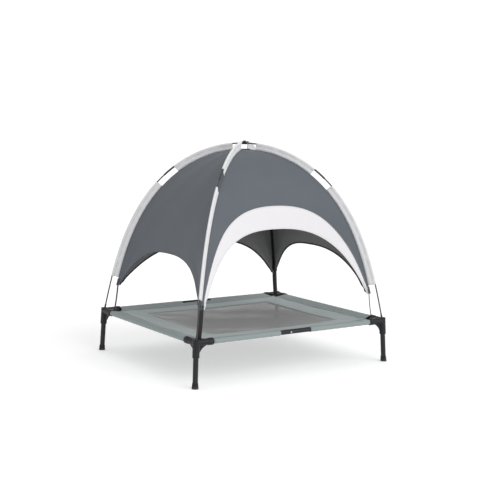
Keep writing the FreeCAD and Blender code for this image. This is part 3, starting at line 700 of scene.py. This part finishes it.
def even_line(level, run, spacing):
    """The same line across a panel, with points at even distances."""
    steps = np.hypot(np.diff(level), np.diff(run))
    length = np.concatenate([[0], np.cumsum(steps)])
    at = np.linspace(0, length[-1], max(int(length[-1] / spacing), 2))
    return np.interp(at, length, level), np.interp(at, length, run), at


def beside(level, run, distance):
    """A line across a panel moved square to itself, towards the crown."""
    across = np.gradient(level)
    down = np.gradient(run)
    size = np.hypot(across, down)
    return level + distance * down / size, run - distance * across / size


def arch_line(panel, spacing=0.004, edge=hem_run):
    """The edge of a panel's arch, from one tip to the other."""
    dense = np.linspace(-1, 1, 1201)
    runs = edge(panel, dense)
    inside = runs < ridge_end - 0.0005
    reach = mean_pole.at(runs, ridge_offset)[0] * panel.side
    return even_line((dense * reach)[inside], runs[inside], spacing)


def lay_strip(panel, line, widths, lifts):
    """A tape beside a line on a panel: its rows are so far from the line, so high over it."""
    level, run, at = line
    rows, flat = [], []
    for width, lift in zip(widths, lifts):
        shifted = beside(level, run, width)
        rows.append(panel.spot(shifted[0], np.minimum(shifted[1], ridge_end), lift))
        flat.append(np.stack([at, np.full(len(at), width)], axis=-1))
    return np.array(rows), np.array(flat)


black_tape = woven("black_tape", (0.018, 0.018, 0.02), (0.008, 0.008, 0.009), 0.0008, 0.62,
                   sheen=0.1, mottle=0.1)
trims = {name: [] for name in panels}
for name, panel in panels.items():
    line = arch_line(panel)
    if name == "front":
        strip = lay_strip(panel, line, (0.0005, 0.002, 0.0055, 0.006),
                          (0.0002, -0.0009, -0.0009, 0.0001))
        tape = new_cloth("front_rolled_hem", [strip], pale_cloth, 0.0005, -panel.facing)
        finish_piece(tape, "canopy", "pale_fabric")
    else:
        strip = lay_strip(panel, line, (-0.0006, -0.0004, 0.001, 0.0045, 0.0048),
                          (0.0004, -0.0006, -0.0011, -0.0011, -0.0003))
        tape = new_cloth(name + "_arch_binding", [strip], black_tape, 0.0005, -panel.facing)
        finish_piece(tape, "canopy", "strap_elastic")
    trims[name].append(tape)

# ---------------------------------------------------------------- ridge seams
# On the inside each ridge seam is covered by a black tape, felled flat to both panels, so
# the ridge shows as a dark line with a stitched edge on each side.
corner_panels = {"front_left": ("left", "front"), "front_right": ("front", "right"),
                 "back_right": ("right", "back"), "back_left": ("back", "left")}


def beside_ridge(corner, run, distance, lift):
    """Places beside a ridge, on its first panel where distance is negative."""
    first, second = corner_panels[corner]
    panel = panels[second if distance > 0 else first]
    reach = mean_pole.at(run, ridge_offset)[0] * panel.side
    level = reach - np.minimum(abs(distance), reach * 0.9)
    return panel.spot(-level if distance > 0 else level, run, lift)


both_sides = (-1.0, -0.6, -0.25, 0.25, 0.6, 1.0)


def over_ridge(corner, run, half, lift, peak, shares_out=both_sides):
    """A strip laid over a ridge, half so wide, with its middle lifted by peak."""
    across, up, _ = mean_pole.at(run, ridge_offset - peak)
    east, north = corner_out[corner][:2]
    middle = np.stack([across * east, across * north, up], axis=-1)
    rows, flat = [], []
    for share in sorted((*shares_out, 0.0)):
        rows.append(beside_ridge(corner, run, half * share, lift) if share else middle)
        flat.append(np.stack([np.full(len(run), half * share + 0.1), run], axis=-1))
    return np.array(rows), np.array(flat)


tape_half = 0.0092
tape_run = np.arange(0.012, ridge_end - 0.004, 0.006)
for corner in corners:
    strip = over_ridge(corner, tape_run, tape_half, -0.0011, -0.0016)
    tape = new_cloth("ridge_tape_" + corner, [strip], black_tape, 0.0006, (0, 0, -1))
    finish_piece(tape, "canopy", "strap_elastic")

# ---------------------------------------------------------------- tip patches and crown
# A doubled patch on each lower corner takes the pull of its strap. It leaves the pale band
# free. Where the four panels meet, a round patch of their own cloth closes the crown.
patch_cloth = woven("patch_oxford", (0.090, 0.099, 0.113), (0.060, 0.067, 0.078), 0.0011, 0.5,
                    sheen=0.12, mottle=0.15, depth=0.0002)
patch_length = 0.024
patch_halves = {"front_left": 0.020, "front_right": 0.020, "back_right": 0.0115, "back_left": 0.0115}
patch_run = np.linspace(ridge_end - patch_length, ridge_end - 0.0002, 9)
for corner in corners:
    covered = [share for share in both_sides if corner_panels[corner][share > 0] != "front"]
    strip = over_ridge(corner, patch_run, patch_halves[corner], 0.0014, 0.0016, covered)
    patch = new_cloth("tip_patch_" + corner, [strip], patch_cloth, 0.0008,
                      (*corner_sides[corner], 0.5))
    finish_piece(patch, "canopy", "canopy_fabric")

crown_radius = 0.021
turns = np.linspace(0, 2 * math.pi, 49)[:-1]
crown_rows, crown_flat = [], []
for radius in np.linspace(0.0004, crown_radius, 9):
    ring = radius * np.stack([np.cos(turns), np.sin(turns)], axis=-1)
    up = mean_pole.at(radius, ridge_offset)[1] + 0.0013 + 0.0003 * np.cos(turns * 4)
    crown_rows.append(np.column_stack([ring, up]))
    crown_flat.append(ring)
crown = new_cloth("crown_patch", [(np.array(crown_rows), np.array(crown_flat))], slate_cloth,
                  0.0008, (0, 0, 1), closed=True)
finish_piece(crown, "canopy", "canopy_fabric")

# ---------------------------------------------------------------- ridge fins
# Four pairs of pale grey fins stand on the ridges. Each is one strip folded over its pole:
# the fold is stitched into a sleeve, and the two raw edges are caught in the ridge seam.
fin_cloth = woven("fin_taffeta", (0.74, 0.74, 0.75), (0.65, 0.65, 0.66), 0.0006, 0.6,
                  sheen=0.1, mottle=0.12)
over_pole = BentPole(over_top)
under_pole = BentPole(under_top)
fin_spans = {"upper": (0.041, 0.239), "lower": (0.298, 0.4545)}
fin_step = 0.0022
fin_point_gap = 0.0034
# The section of a fin, one side first: how far out to the side, and how deep, as a share of
# the way from the middle of the pole to the ridge.
fin_profile = [(-0.0007, 1.0), (-0.0007, 0.72), (-0.0008, 0.45), (-0.0012, 0.30), (-0.0023, 0.17),
               (-0.0031, 0.03), (-0.0030, -0.08), (-0.0018, -0.135), (0.0, -0.150)]
fin_profile += [(-side, depth) for side, depth in reversed(fin_profile[:-1])]
fin_pieces = {}
fin_seams = []
for corner in corners:
    side_x, side_y = corner_sides[corner]
    out = corner_out[corner]
    square = np.array((-out[1], out[0], 0))
    pole = over_pole if corner in over_corners else under_pole
    for kind, (start, end) in fin_spans.items():
        count = int((end - start) / fin_step)
        run = np.linspace(pole.run_at_across(start), pole.run_at_across(end), count)
        low_run = np.linspace(mean_pole.run_at_across(start), mean_pole.run_at_across(end), count)
        across, up, _ = pole.at(run)
        top = np.stack([across * out[0], across * out[1], up], axis=-1)
        across, up, _ = mean_pole.at(low_run, ridge_offset - 0.0004)
        foot = np.stack([across * out[0], across * out[1], up], axis=-1)
        wave = 0.0005 * np.sin(run * 150 + side_x) + 0.0004 * np.sin(run * 61 + side_y)
        rows, flat = [], []
        for number, (side, depth) in enumerate(fin_profile):
            bulge = wave * math.sin(min(max(depth, 0), 1) * math.pi)
            pinch = 0.0003 * np.sin(run * 2 * math.pi / 0.009) * math.exp(-((depth - 0.28) / 0.12) ** 2)
            shift = side + bulge + pinch * np.sign(side)
            rows.append(top + (foot - top) * depth + square * shift[:, None])
            flat.append(np.stack([np.full(count, number * fin_point_gap), run], axis=-1))
        name = f"{kind}_fin_{corner}"
        piece = new_cloth(name + "_cloth", [(np.array(rows), np.array(flat))], fin_cloth, 0.0005,
                          square)
        finish_piece(piece, "canopy", "fin_fabric", name)
        fin_pieces[name] = piece
        for side in (-1, 1):
            for depth, off in ((0.31, 0.0017), (0.93, 0.0012)):
                fin_seams.append(top + (foot - top) * depth + square * (side * off))

# ---------------------------------------------------------------- corner straps
# A flat black elastic strap is sewn to each lower corner of the canopy on the inside. It
# runs down to the bracket below, and its foot stands in the open slot of the web.


def woven_elastic():
    finish, tree, shader = new_finish("woven_elastic", sheen_weight=0.2, specular_ior_level=0.3)
    cloth = cloth_place(tree)
    cords = (one_axis(tree, cloth, "X") * (2 * math.pi / 0.0013)).sine()
    ties = (one_axis(tree, cloth, "Y") * (2 * math.pi / 0.0009)).sine()
    height = cords * 0.5 + ties * 0.2 + 0.5
    colour = blended(tree, height, (0.007, 0.007, 0.008), (0.024, 0.024, 0.026))
    connect(tree, shader, base_color=colour, roughness=0.6 + ties * 0.08,
            normal=raised_by(tree, height, 0.0003, 0.7))
    return finish


elastic = woven_elastic()
strap_width = 0.013
slot_reach = 0.037 / math.sqrt(2)
for corner in corners:
    side_x, side_y = corner_sides[corner]
    out = corner_out[corner]
    square = np.array((-out[1], out[0], 0))
    tip_across, tip_up, _ = mean_pole.at(ridge_end, ridge_offset)
    foot = np.array((side_x * (half_length - slot_reach), side_y * (half_width - slot_reach),
                     rail_axis + 0.0035))
    sewn = [mean_pole.at(ridge_end - back, ridge_offset + 0.0034) for back in (0.017, 0.010, 0.004)]
    path = [out * across + np.array((0, 0, up)) for across, up, _ in sewn]
    leave = out * (tip_across - 0.0042) + np.array((0, 0, tip_up - 0.002))
    drop = np.linspace(0, 1, 22)[:, None]
    bow = np.sin(drop * math.pi) * 0.0012
    path = np.concatenate([path, leave + (foot - leave) * drop - out * bow])
    length = np.concatenate([[0], np.cumsum(np.linalg.norm(np.diff(path, axis=0), axis=1))])
    rows, flat = [], []
    for share in np.linspace(-1, 1, 9):
        narrowed = 1 - 0.05 * np.exp(-((length - 0.018) / 0.006) ** 2)
        crown_of_tape = 0.0003 * (1 - share ** 2)
        rows.append(path + square * (share * strap_width / 2 * narrowed[:, None]) + out * crown_of_tape)
        flat.append(np.stack([np.full(len(path), share * strap_width / 2 + 1), length], axis=-1))
    strap = new_cloth("elastic_strap_" + corner, [(np.array(rows), np.array(flat))], elastic,
                      0.0026, out)
    finish_piece(strap, "canopy", "strap_elastic", "corner_strap_" + corner)
    "corner_bracket_" + corner

# ---------------------------------------------------------------- deck sling
# A grey-green woven sling. Along each rail its edge turns back under itself and is stitched
# into a wide pocket that the rail fills, so the deck hangs a little below the rails' tops.
# The corners are cut away in arcs, and the long rails show through a cut at their middles.
pocket = 0.038
pocket_x = half_length - pocket
pocket_y = half_width - pocket
sleeve_radius = tube_radius + 0.0006
corner_arc = 0.060
notch_half = 0.060
notch_depth = 0.016
mesh_x = 0.250
mesh_y = 0.206
deck_level = rail_axis + 0.0002
side_sag = 0.0034
middle_sag = 0.0088
corner_pull = 0.0013
front_right_pull = 0.0021


def deck_height(x, y):
    """Level of the deck inside its pocket seams: lower at mid-sides and lowest in the middle."""
    along = 1 - np.minimum(np.abs(x) / pocket_x, 1) ** 2
    across = 1 - np.minimum(np.abs(y) / pocket_y, 1) ** 2
    both = along * across
    return deck_level - side_sag * (along + across - both) - middle_sag * both


def deck_folds(x, y):
    """Long pulled folds that fan out of each corner, and small puckers by the mesh seam."""
    relief = 0.0
    for side_x, side_y in corner_sides.values():
        dx = half_length - x * side_x
        dy = half_width - y * side_y
        far = np.hypot(dx, dy)
        turn = np.arctan2(dy, dx)
        seed = side_x * 1.3 + side_y * 2.1
        pull = front_right_pull if (side_x, side_y) == (1, -1) else corner_pull
        window = np.clip(np.sin(2 * turn) * 2.5, 0, 1)
        wave = np.sin(turn * 16 + seed + 0.8 * np.sin(far * 24 + seed))
        relief = relief + pull * np.exp(-np.maximum(far - 0.06, 0) / 0.13) * wave * window
    edge = np.maximum(np.abs(x) - mesh_x, np.abs(y) - mesh_y)
    pucker = np.sin((x + y) * 2 * math.pi / 0.019) + np.sin((x - y) * 2 * math.pi / 0.023)
    relief = relief + 0.00022 * pucker * np.exp(-np.abs(edge) / 0.010)
    slack = np.sin(x * 23 + y * 9) * np.sin(y * 27 - x * 6)
    return relief + 0.0006 * slack


def deck_place(x, y, lift=0.0):
    return np.stack([x, y, deck_height(x, y) + deck_folds(x, y) + lift], axis=-1)


def mesh_corner(side_x, side_y, turn):
    """Round one corner of the mesh's edge: turn is 0 on its long side, 1 on its short."""
    angle = turn * math.pi / 2
    return (side_x * (inner_reach[0] - mesh_bend + mesh_bend * np.sin(angle)),
            side_y * (inner_reach[1] - mesh_bend + mesh_bend * np.cos(angle)))


deck_grids = []
ring_rows = 26
mesh_bend = 0.010
mesh_lap = 0.004
inner_reach = (mesh_x - mesh_lap, mesh_y - mesh_lap)
seam_stop = math.sqrt(corner_arc ** 2 - pocket ** 2)
long_stop = half_length - seam_stop
short_stop = half_width - seam_stop


def spread_between(first, last):
    """A grid of places between two lines, for the part of the deck inside the pockets."""
    share = np.linspace(0, 1, ring_rows)[:, None]
    x = first[0][None, :] + (last[0] - first[0])[None, :] * share
    y = first[1][None, :] + (last[1] - first[1])[None, :] * share
    return deck_place(x, y), np.stack([x + 1, y + 1], axis=-1)


long_columns = np.concatenate([np.linspace(-long_stop, -notch_half, 40)[:-1],
                               np.linspace(-notch_half, notch_half, 19)[:-1],
                               np.linspace(notch_half, long_stop, 40)])
short_columns = np.linspace(-short_stop, short_stop, 76)
for side in (-1, 1):
    inner = long_columns * ((inner_reach[0] - mesh_bend) / long_stop)
    deck_grids.append(spread_between(
        (inner, np.full(len(inner), side * inner_reach[1])),
        (long_columns, np.full(len(inner), side * pocket_y))))
    inner = short_columns * ((inner_reach[1] - mesh_bend) / short_stop)
    deck_grids.append(spread_between(
        (np.full(len(inner), side * inner_reach[0]), inner),
        (np.full(len(inner), side * pocket_x), short_columns)))
arc_turn = np.linspace(0, 1, 13)
arc_start = math.atan2(pocket, seam_stop)
arc_angle = arc_start + (math.pi / 2 - 2 * arc_start) * arc_turn
arc_lines = {}
for corner, (side_x, side_y) in corner_sides.items():
    outer = (side_x * (half_length - corner_arc * np.cos(arc_angle)),
             side_y * (half_width - corner_arc * np.sin(arc_angle)))
    deck_grids.append(spread_between(mesh_corner(side_x, side_y, arc_turn), outer))
    arc_lines[corner] = outer


def pocket_section(level, station):
    """Inward distance, height over the rail's axis and the outward direction at one station.

    Stations run from 0 at the seam over the rail and back under it to 3 at the seam."""
    reach = np.hypot(pocket, level)
    tilt = np.arctan2(level, pocket)
    spread = np.arccos(sleeve_radius / reach)
    over = station <= 1
    if 1 < station < 2:
        angle = tilt + spread + (2 * math.pi - 2 * spread) * (station - 1)
    else:
        angle = tilt + spread if over else tilt - spread
    away = (np.cos(angle), np.sin(angle))
    inward = sleeve_radius * away[0]
    height = sleeve_radius * away[1]
    if station <= 1 or station >= 2:
        share = station if over else 3 - station
        gap = 0.0 if over else -0.0009 * (1 - share)
        inward = pocket + (inward - pocket) * share
        height = level + (height - level) * share + gap
    return inward, height, away


station_length = 0.035


def pocket_grid(along_side, side, columns, stations):
    """Part of the pocket round one rail; columns are places along it at the seam."""
    half_rail = half_length if along_side else half_width
    half_other = half_width if along_side else half_length
    stop = long_stop if along_side else short_stop
    rows, flat = [], []
    for station in stations:
        seam_x, seam_y = (columns, side * pocket_y) if along_side else (side * pocket_x, columns)
        level = deck_height(seam_x, seam_y) - rail_axis
        inward, height, away = pocket_section(level, station)
        reach = half_rail - np.sqrt(corner_arc ** 2 - np.clip(inward, 0, None) ** 2)
        beyond = np.maximum(np.abs(columns) - notch_half, 0) / (stop - notch_half)
        place = np.sign(columns) * (np.minimum(np.abs(columns), notch_half)
                                    + beyond * (reach - notch_half))
        free = math.sin(min(station, 3 - station, 1) * math.pi)
        ripple = np.sin(place * 95 + side) * np.sin(place * 41 + station * 2) * 0.0007 * free
        ripple = ripple + 0.00028 * np.sin(place * 210 + station * 5 + side) * (0 < station < 3)
        ripple = ripple + 0.00025 * np.sin(place * 2 * math.pi / 0.013) * math.exp(
            -min(station, 3 - station) / 0.15) * (0 < station < 3)
        off = half_other - (inward + away[0] * ripple)
        up = rail_axis + height + away[1] * ripple
        if station in (0, 3):
            up = up + deck_folds(seam_x, seam_y) * (1 if station == 0 else 0)
        points = (place, side * off, up) if along_side else (side * off, place, up)
        rows.append(np.stack(points, axis=-1))
        down = np.full(len(place), 1 - station * station_length)
        flat.append(np.stack([place + 1, down], axis=-1))
    return np.array(rows), np.array(flat)


meets_rail = sleeve_radius * 0.21
notch_station = (pocket - notch_depth) / (pocket - meets_rail)
top_stations = [0, 0.12, 0.26, 0.42, notch_station]
wrap_stations = [0.72, 0.86, 1.0] + list(np.linspace(1, 2, 19)[1:-1]) + [2.0, 2.14, 2.28]
low_stations = [3 - station for station in reversed(top_stations)]
all_stations = top_stations + wrap_stations + low_stations
for side in (-1, 1):
    deck_grids.append(pocket_grid(False, side, short_columns, all_stations))
    for first, last in ((-long_stop, -notch_half), (notch_half, long_stop)):
        part = long_columns[(long_columns >= first - 1e-6) & (long_columns <= last + 1e-6)]
        deck_grids.append(pocket_grid(True, side, part, all_stations))
    middle = long_columns[np.abs(long_columns) <= notch_half + 1e-6]
    deck_grids.append(pocket_grid(True, side, middle, top_stations))
    deck_grids.append(pocket_grid(True, side, middle, low_stations))

deck_cloth = woven("deck_oxford", (0.40, 0.455, 0.455), (0.305, 0.352, 0.352), 0.0011, 0.58,
                   sheen=0.15, mottle=0.22, depth=0.0002)
# The pockets use a darker copy of the same deck cloth. This is painted shade for the light that comes
# through the single layer but not through the doubled cloth and rail.
shaded_pocket_cloth = woven("deck_oxford_doubled", (0.27, 0.315, 0.313), (0.198, 0.236, 0.235), 0.0011,
                      0.58, sheen=0.15, mottle=0.22, depth=0.0002)
sling = new_cloth("sling_cloth", deck_grids, deck_cloth, 0.0009)
sling.data.materials.append(shaded_pocket_cloth)
# Faces outside the pocket seams take the painted-shade copy of the deck cloth.
for face in sling.data.polygons:
    in_shaded_pocket = abs(face.center.x) > pocket_x or abs(face.center.y) > pocket_y
    face.material_index = int(in_shaded_pocket)
finish_piece(sling, "frame", "deck_fabric", "deck_sling")

# ---------------------------------------------------------------- mesh panel
# An open warp-knit mesh fills the middle of the sling. Its edge lies under the sling's
# turned edge and is sewn down with two rows of stitches.


def knitted_mesh():
    """Round holes in staggered rows between soft raised knit ribs."""
    finish, tree, shader = new_finish("knitted_mesh", sheen_weight=0.15, specular_ior_level=0.3)
    cloth = cloth_place(tree)
    pitch = 0.0024
    across = one_axis(tree, cloth, "X") / pitch
    along = one_axis(tree, cloth, "Y") / pitch
    row = along.floor()
    shifted = across + row * 0.5
    side = shifted - shifted.floor() - 0.5
    rise = along - row - 0.5
    away = (side * side * 1.3 + rise * rise) ** 0.5
    solid = away > 0.27
    rib = (away * 1.8).at_most(1.0)
    drift = cloudy(tree, cloth, 12, 4, 0.55)
    colour = blended(tree, rib * 0.6 + drift * 0.4, (0.185, 0.18, 0.184), (0.325, 0.32, 0.324))
    connect(tree, shader, base_color=colour, alpha=solid, roughness=0.62 + drift * 0.1,
            normal=raised_by(tree, rib, 0.0004, 0.6))
    return finish


x, y = np.meshgrid(np.linspace(-mesh_x - mesh_lap, mesh_x + mesh_lap, 161),
                   np.linspace(-mesh_y - mesh_lap, mesh_y + mesh_lap, 133))
past_edge = np.maximum(np.abs(x) - mesh_x, np.abs(y) - mesh_y)
under_edge = np.clip((past_edge + 2 * mesh_lap) / mesh_lap, 0, 1)
below_sling = 0.0011
mesh_points = deck_place(x, y, -below_sling * under_edge)
mesh_panel = new_cloth("mesh_panel", [(mesh_points, np.stack([x + 1, y + 1], axis=-1))],
                       knitted_mesh(), 0.0007, (0, 0, 1))
finish_piece(mesh_panel, "frame", "deck_mesh", "deck_mesh")

# ---------------------------------------------------------------- deck edges
# A folded tape binds the four arcs that are cut out of the sling's corners. It is woven in
# the sling's colour and shows on both faces.


def fold_over(edge, inward, up, half, thick):
    """A tape folded round an edge: edge points, direction into the cloth and off its face."""
    rows = []
    for depth, lift in ((half, thick), (half * 0.5, thick * 1.15), (0.0006, thick), (-0.0008, 0.0),
                        (0.0006, -thick), (half * 0.5, -thick * 1.15), (half, -thick)):
        rows.append(edge + inward * depth + up * lift)
    length = np.concatenate([[0], np.cumsum(np.linalg.norm(np.diff(edge, axis=0), axis=1))])
    flat = [np.stack([length, np.full(len(length), number * 0.0022)], axis=-1)
            for number in range(len(rows))]
    return np.array(rows), np.array(flat)


edge_tape = woven("edge_tape", (0.36, 0.385, 0.385), (0.27, 0.29, 0.29), 0.0008, 0.6, depth=0.0002)
upward = np.array((0, 0, 1.0))
for corner, outer in arc_lines.items():
    side_x, side_y = corner_sides[corner]
    inward = np.stack([-side_x * np.cos(arc_angle), -side_y * np.sin(arc_angle),
                       np.zeros(len(arc_angle))], axis=-1)
    strip = fold_over(deck_place(*outer), inward, upward, 0.005, 0.001)
    tape = new_cloth("arc_binding_" + corner, [strip], edge_tape, 0.0005)
    finish_piece(tape, "frame", "deck_fabric")

# ---------------------------------------------------------------- stitches
# Every seam is sewn with a lockstitch: short beads of thread, evenly spaced, in slate on
# the canopy, off-white on the band and fins, and grey-green on the deck.


def stitching():
    """Lays one bead of thread on each step of a line; pitch, length and width are inputs."""
    tree = bpy.data.node_groups.new("lockstitch", "GeometryNodeTree")
    tree.interface.new_socket("Seams", in_out="INPUT", socket_type="NodeSocketGeometry")
    for label in ("Pitch", "Stitch Length", "Thread Width"):
        tree.interface.new_socket(label, in_out="INPUT", socket_type="NodeSocketFloat")
    tree.interface.new_socket("Thread", in_out="INPUT", socket_type="NodeSocketMaterial")
    tree.interface.new_socket("Stitches", in_out="OUTPUT", socket_type="NodeSocketGeometry")
    entry = tree.nodes.new("NodeGroupInput")
    given = {socket.name: Signal(tree, socket) for socket in entry.outputs if socket.name}
    curve = add_node(tree, "GeometryNodeMeshToCurve", {}, {"Mesh": given["Seams"]}, "Curve")
    steps = tree.nodes.new("GeometryNodeCurveToPoints")
    steps.mode = "LENGTH"
    tree.links.new(curve.socket, steps.inputs["Curve"])
    tree.links.new(given["Pitch"].socket, steps.inputs["Length"])
    turned = add_node(tree, "FunctionNodeAlignRotationToVector", {"axis": "Z"},
                      {"Vector": Signal(tree, steps.outputs["Tangent"])}, "Rotation")
    bead = add_node(tree, "GeometryNodeMeshUVSphere", {},
                    {"Segments": 6, "Rings": 4, "Radius": 0.5}, "Mesh")
    size = add_node(tree, "ShaderNodeCombineXYZ", {},
                    {"X": given["Thread Width"], "Y": given["Thread Width"],
                     "Z": given["Stitch Length"]}, "Vector")
    beads = add_node(tree, "GeometryNodeInstanceOnPoints", {},
                     {"Points": Signal(tree, steps.outputs["Points"]), "Instance": bead,
                      "Rotation": turned, "Scale": size}, "Instances")
    real = add_node(tree, "GeometryNodeRealizeInstances", {}, {"Geometry": beads}, "Geometry")
    painted = add_node(tree, "GeometryNodeSetMaterial", {},
                       {"Geometry": real, "Material": given["Thread"]}, "Geometry")
    leave = tree.nodes.new("NodeGroupOutput")
    tree.links.new(painted.socket, leave.inputs["Stitches"])
    return tree


def thread(name, tone):
    finish, tree, shader = new_finish(name, sheen_weight=0.2, specular_ior_level=0.35)
    where = place_on(tree)
    twist = cloudy(tree, where, 2500, 2)
    darker = tuple(value * 0.7 for value in tone)
    connect(tree, shader, base_color=blended(tree, twist, darker, tone), roughness=0.5 + twist * 0.15)
    return finish


lockstitch = stitching()


def sew(name, seams, finish, body, slot, pitch=0.0034, length=0.0026, width=0.0007):
    """Sews beads along lines of points and makes them one plain mesh."""
    points, edges = [], []
    for seam in seams:
        base = len(points)
        points += seam.tolist()
        edges += [(base + step, base + step + 1) for step in range(len(seam) - 1)]
    path = bpy.data.meshes.new(name + "_path")
    path.from_pydata(points, edges, [])
    guide = add_object(name + "_path", path)
    modifier = guide.modifiers.new("sewing", "NODES")
    modifier.node_group = lockstitch
    values = {"Pitch": pitch, "Stitch Length": length, "Thread Width": width, "Thread": finish}
    for item in lockstitch.interface.items_tree:
        if item.name in values:
            modifier[item.identifier] = values[item.name]
    evaluated = guide.evaluated_get(bpy.context.evaluated_depsgraph_get())
    mesh = bpy.data.meshes.new_from_object(evaluated)
    mesh.name = name
    bpy.data.objects.remove(guide)
    mesh.polygons.foreach_set("use_smooth", [True] * len(mesh.polygons))
    piece = add_object(name, mesh)
    finish_piece(piece, body, slot)
    return piece


def seam_on(panel, line, width, lift):
    """A row of stitches beside a line on a panel."""
    shifted = beside(line[0], line[1], width)
    return panel.spot(shifted[0], np.minimum(shifted[1], ridge_end - 0.0005), lift)


slate_seams, pale_seams = [], []
for name, panel in panels.items():
    line = arch_line(panel)
    if name == "front":
        pale_seams.append(seam_on(panel, line, 0.004, 0.0014))
        top = arch_line(panel, 0.004, band_run)
        for width in (0.0015, 0.0042):
            pale_seams.append(seam_on(panel, top, width, 0.0014))
    else:
        for lift in (0.0005, -0.0015):
            slate_seams.append(seam_on(panel, line, 0.0038, lift))
ridge_seams = ((0.0042, 0.0005), (0.0080, -0.0016))
ridge_run = np.arange(0.024, ridge_end - 0.001, 0.004)
edge_inset = 0.002
low_run = np.arange(ridge_end - patch_length + 0.0015, ridge_end - 0.001, 0.002)
for corner in corners:
    for side in (-1, 1):
        for distance, lift in ridge_seams:
            slate_seams.append(beside_ridge(corner, ridge_run, side * distance, lift))
        if corner_panels[corner][side > 0] != "front":
            distance = patch_halves[corner] - edge_inset
            slate_seams.append(beside_ridge(corner, low_run, side * distance, 0.0019))
turns = np.linspace(0, 2 * math.pi, 60)
seam_radius = crown_radius - 0.003
up = np.full(len(turns), mean_pole.at(seam_radius, ridge_offset)[1] + 0.0019)
slate_seams.append(np.stack([seam_radius * np.cos(turns), seam_radius * np.sin(turns), up], axis=-1))

sew("canopy_stitches", slate_seams, thread("slate_thread", (0.09, 0.10, 0.12)), "canopy",
    "canopy_fabric")
sew("band_stitches", pale_seams, thread("pale_thread", (0.72, 0.71, 0.72)), "canopy",
    "pale_fabric")
sew("fin_stitches", fin_seams, thread("fin_thread", (0.5, 0.5, 0.51)), "canopy", "fin_fabric",
    pitch=0.004, length=0.003)

deck_seams = []
row_gap = 0.003
on_deck = 0.0007
mesh_seam = (np.linspace(-mesh_x, mesh_x, 120), np.linspace(-mesh_y, mesh_y, 100))
for x, y, reach_x, reach_y, step in (
        (long_columns, short_columns, pocket_x, pocket_y, -row_gap),
        (*mesh_seam, mesh_x, mesh_y, row_gap)):
    for side in (-1, 1):
        for inset in (0.0, step):
            long_seam = np.full(len(x), side * (reach_y + inset))
            short_seam = np.full(len(y), side * (reach_x + inset))
            deck_seams.append(deck_place(x, long_seam, on_deck))
            deck_seams.append(deck_place(short_seam, y, on_deck))
deck_stitches = sew("deck_stitches", deck_seams, thread("deck_thread", (0.17, 0.195, 0.195)),
                    "frame", "deck_fabric", pitch=0.0038, length=0.003, width=0.0008)

# ---------------------------------------------------------------- cut sizes
# Works out the cut width and length of each panel and the cut length of each fin; nothing keeps the
# numbers.
for name, piece in canopy_pieces.items():
    half = ridge_across * panels[name].side
    length = math.sqrt(ridge_end ** 2 - half ** 2)
    round(2 * half, 3)
for name, piece in fin_pieces.items():
    kind = name.split("_")[0]
    start, end = fin_spans[kind]
    length = over_pole.run_at_across(end) - over_pole.run_at_across(start)
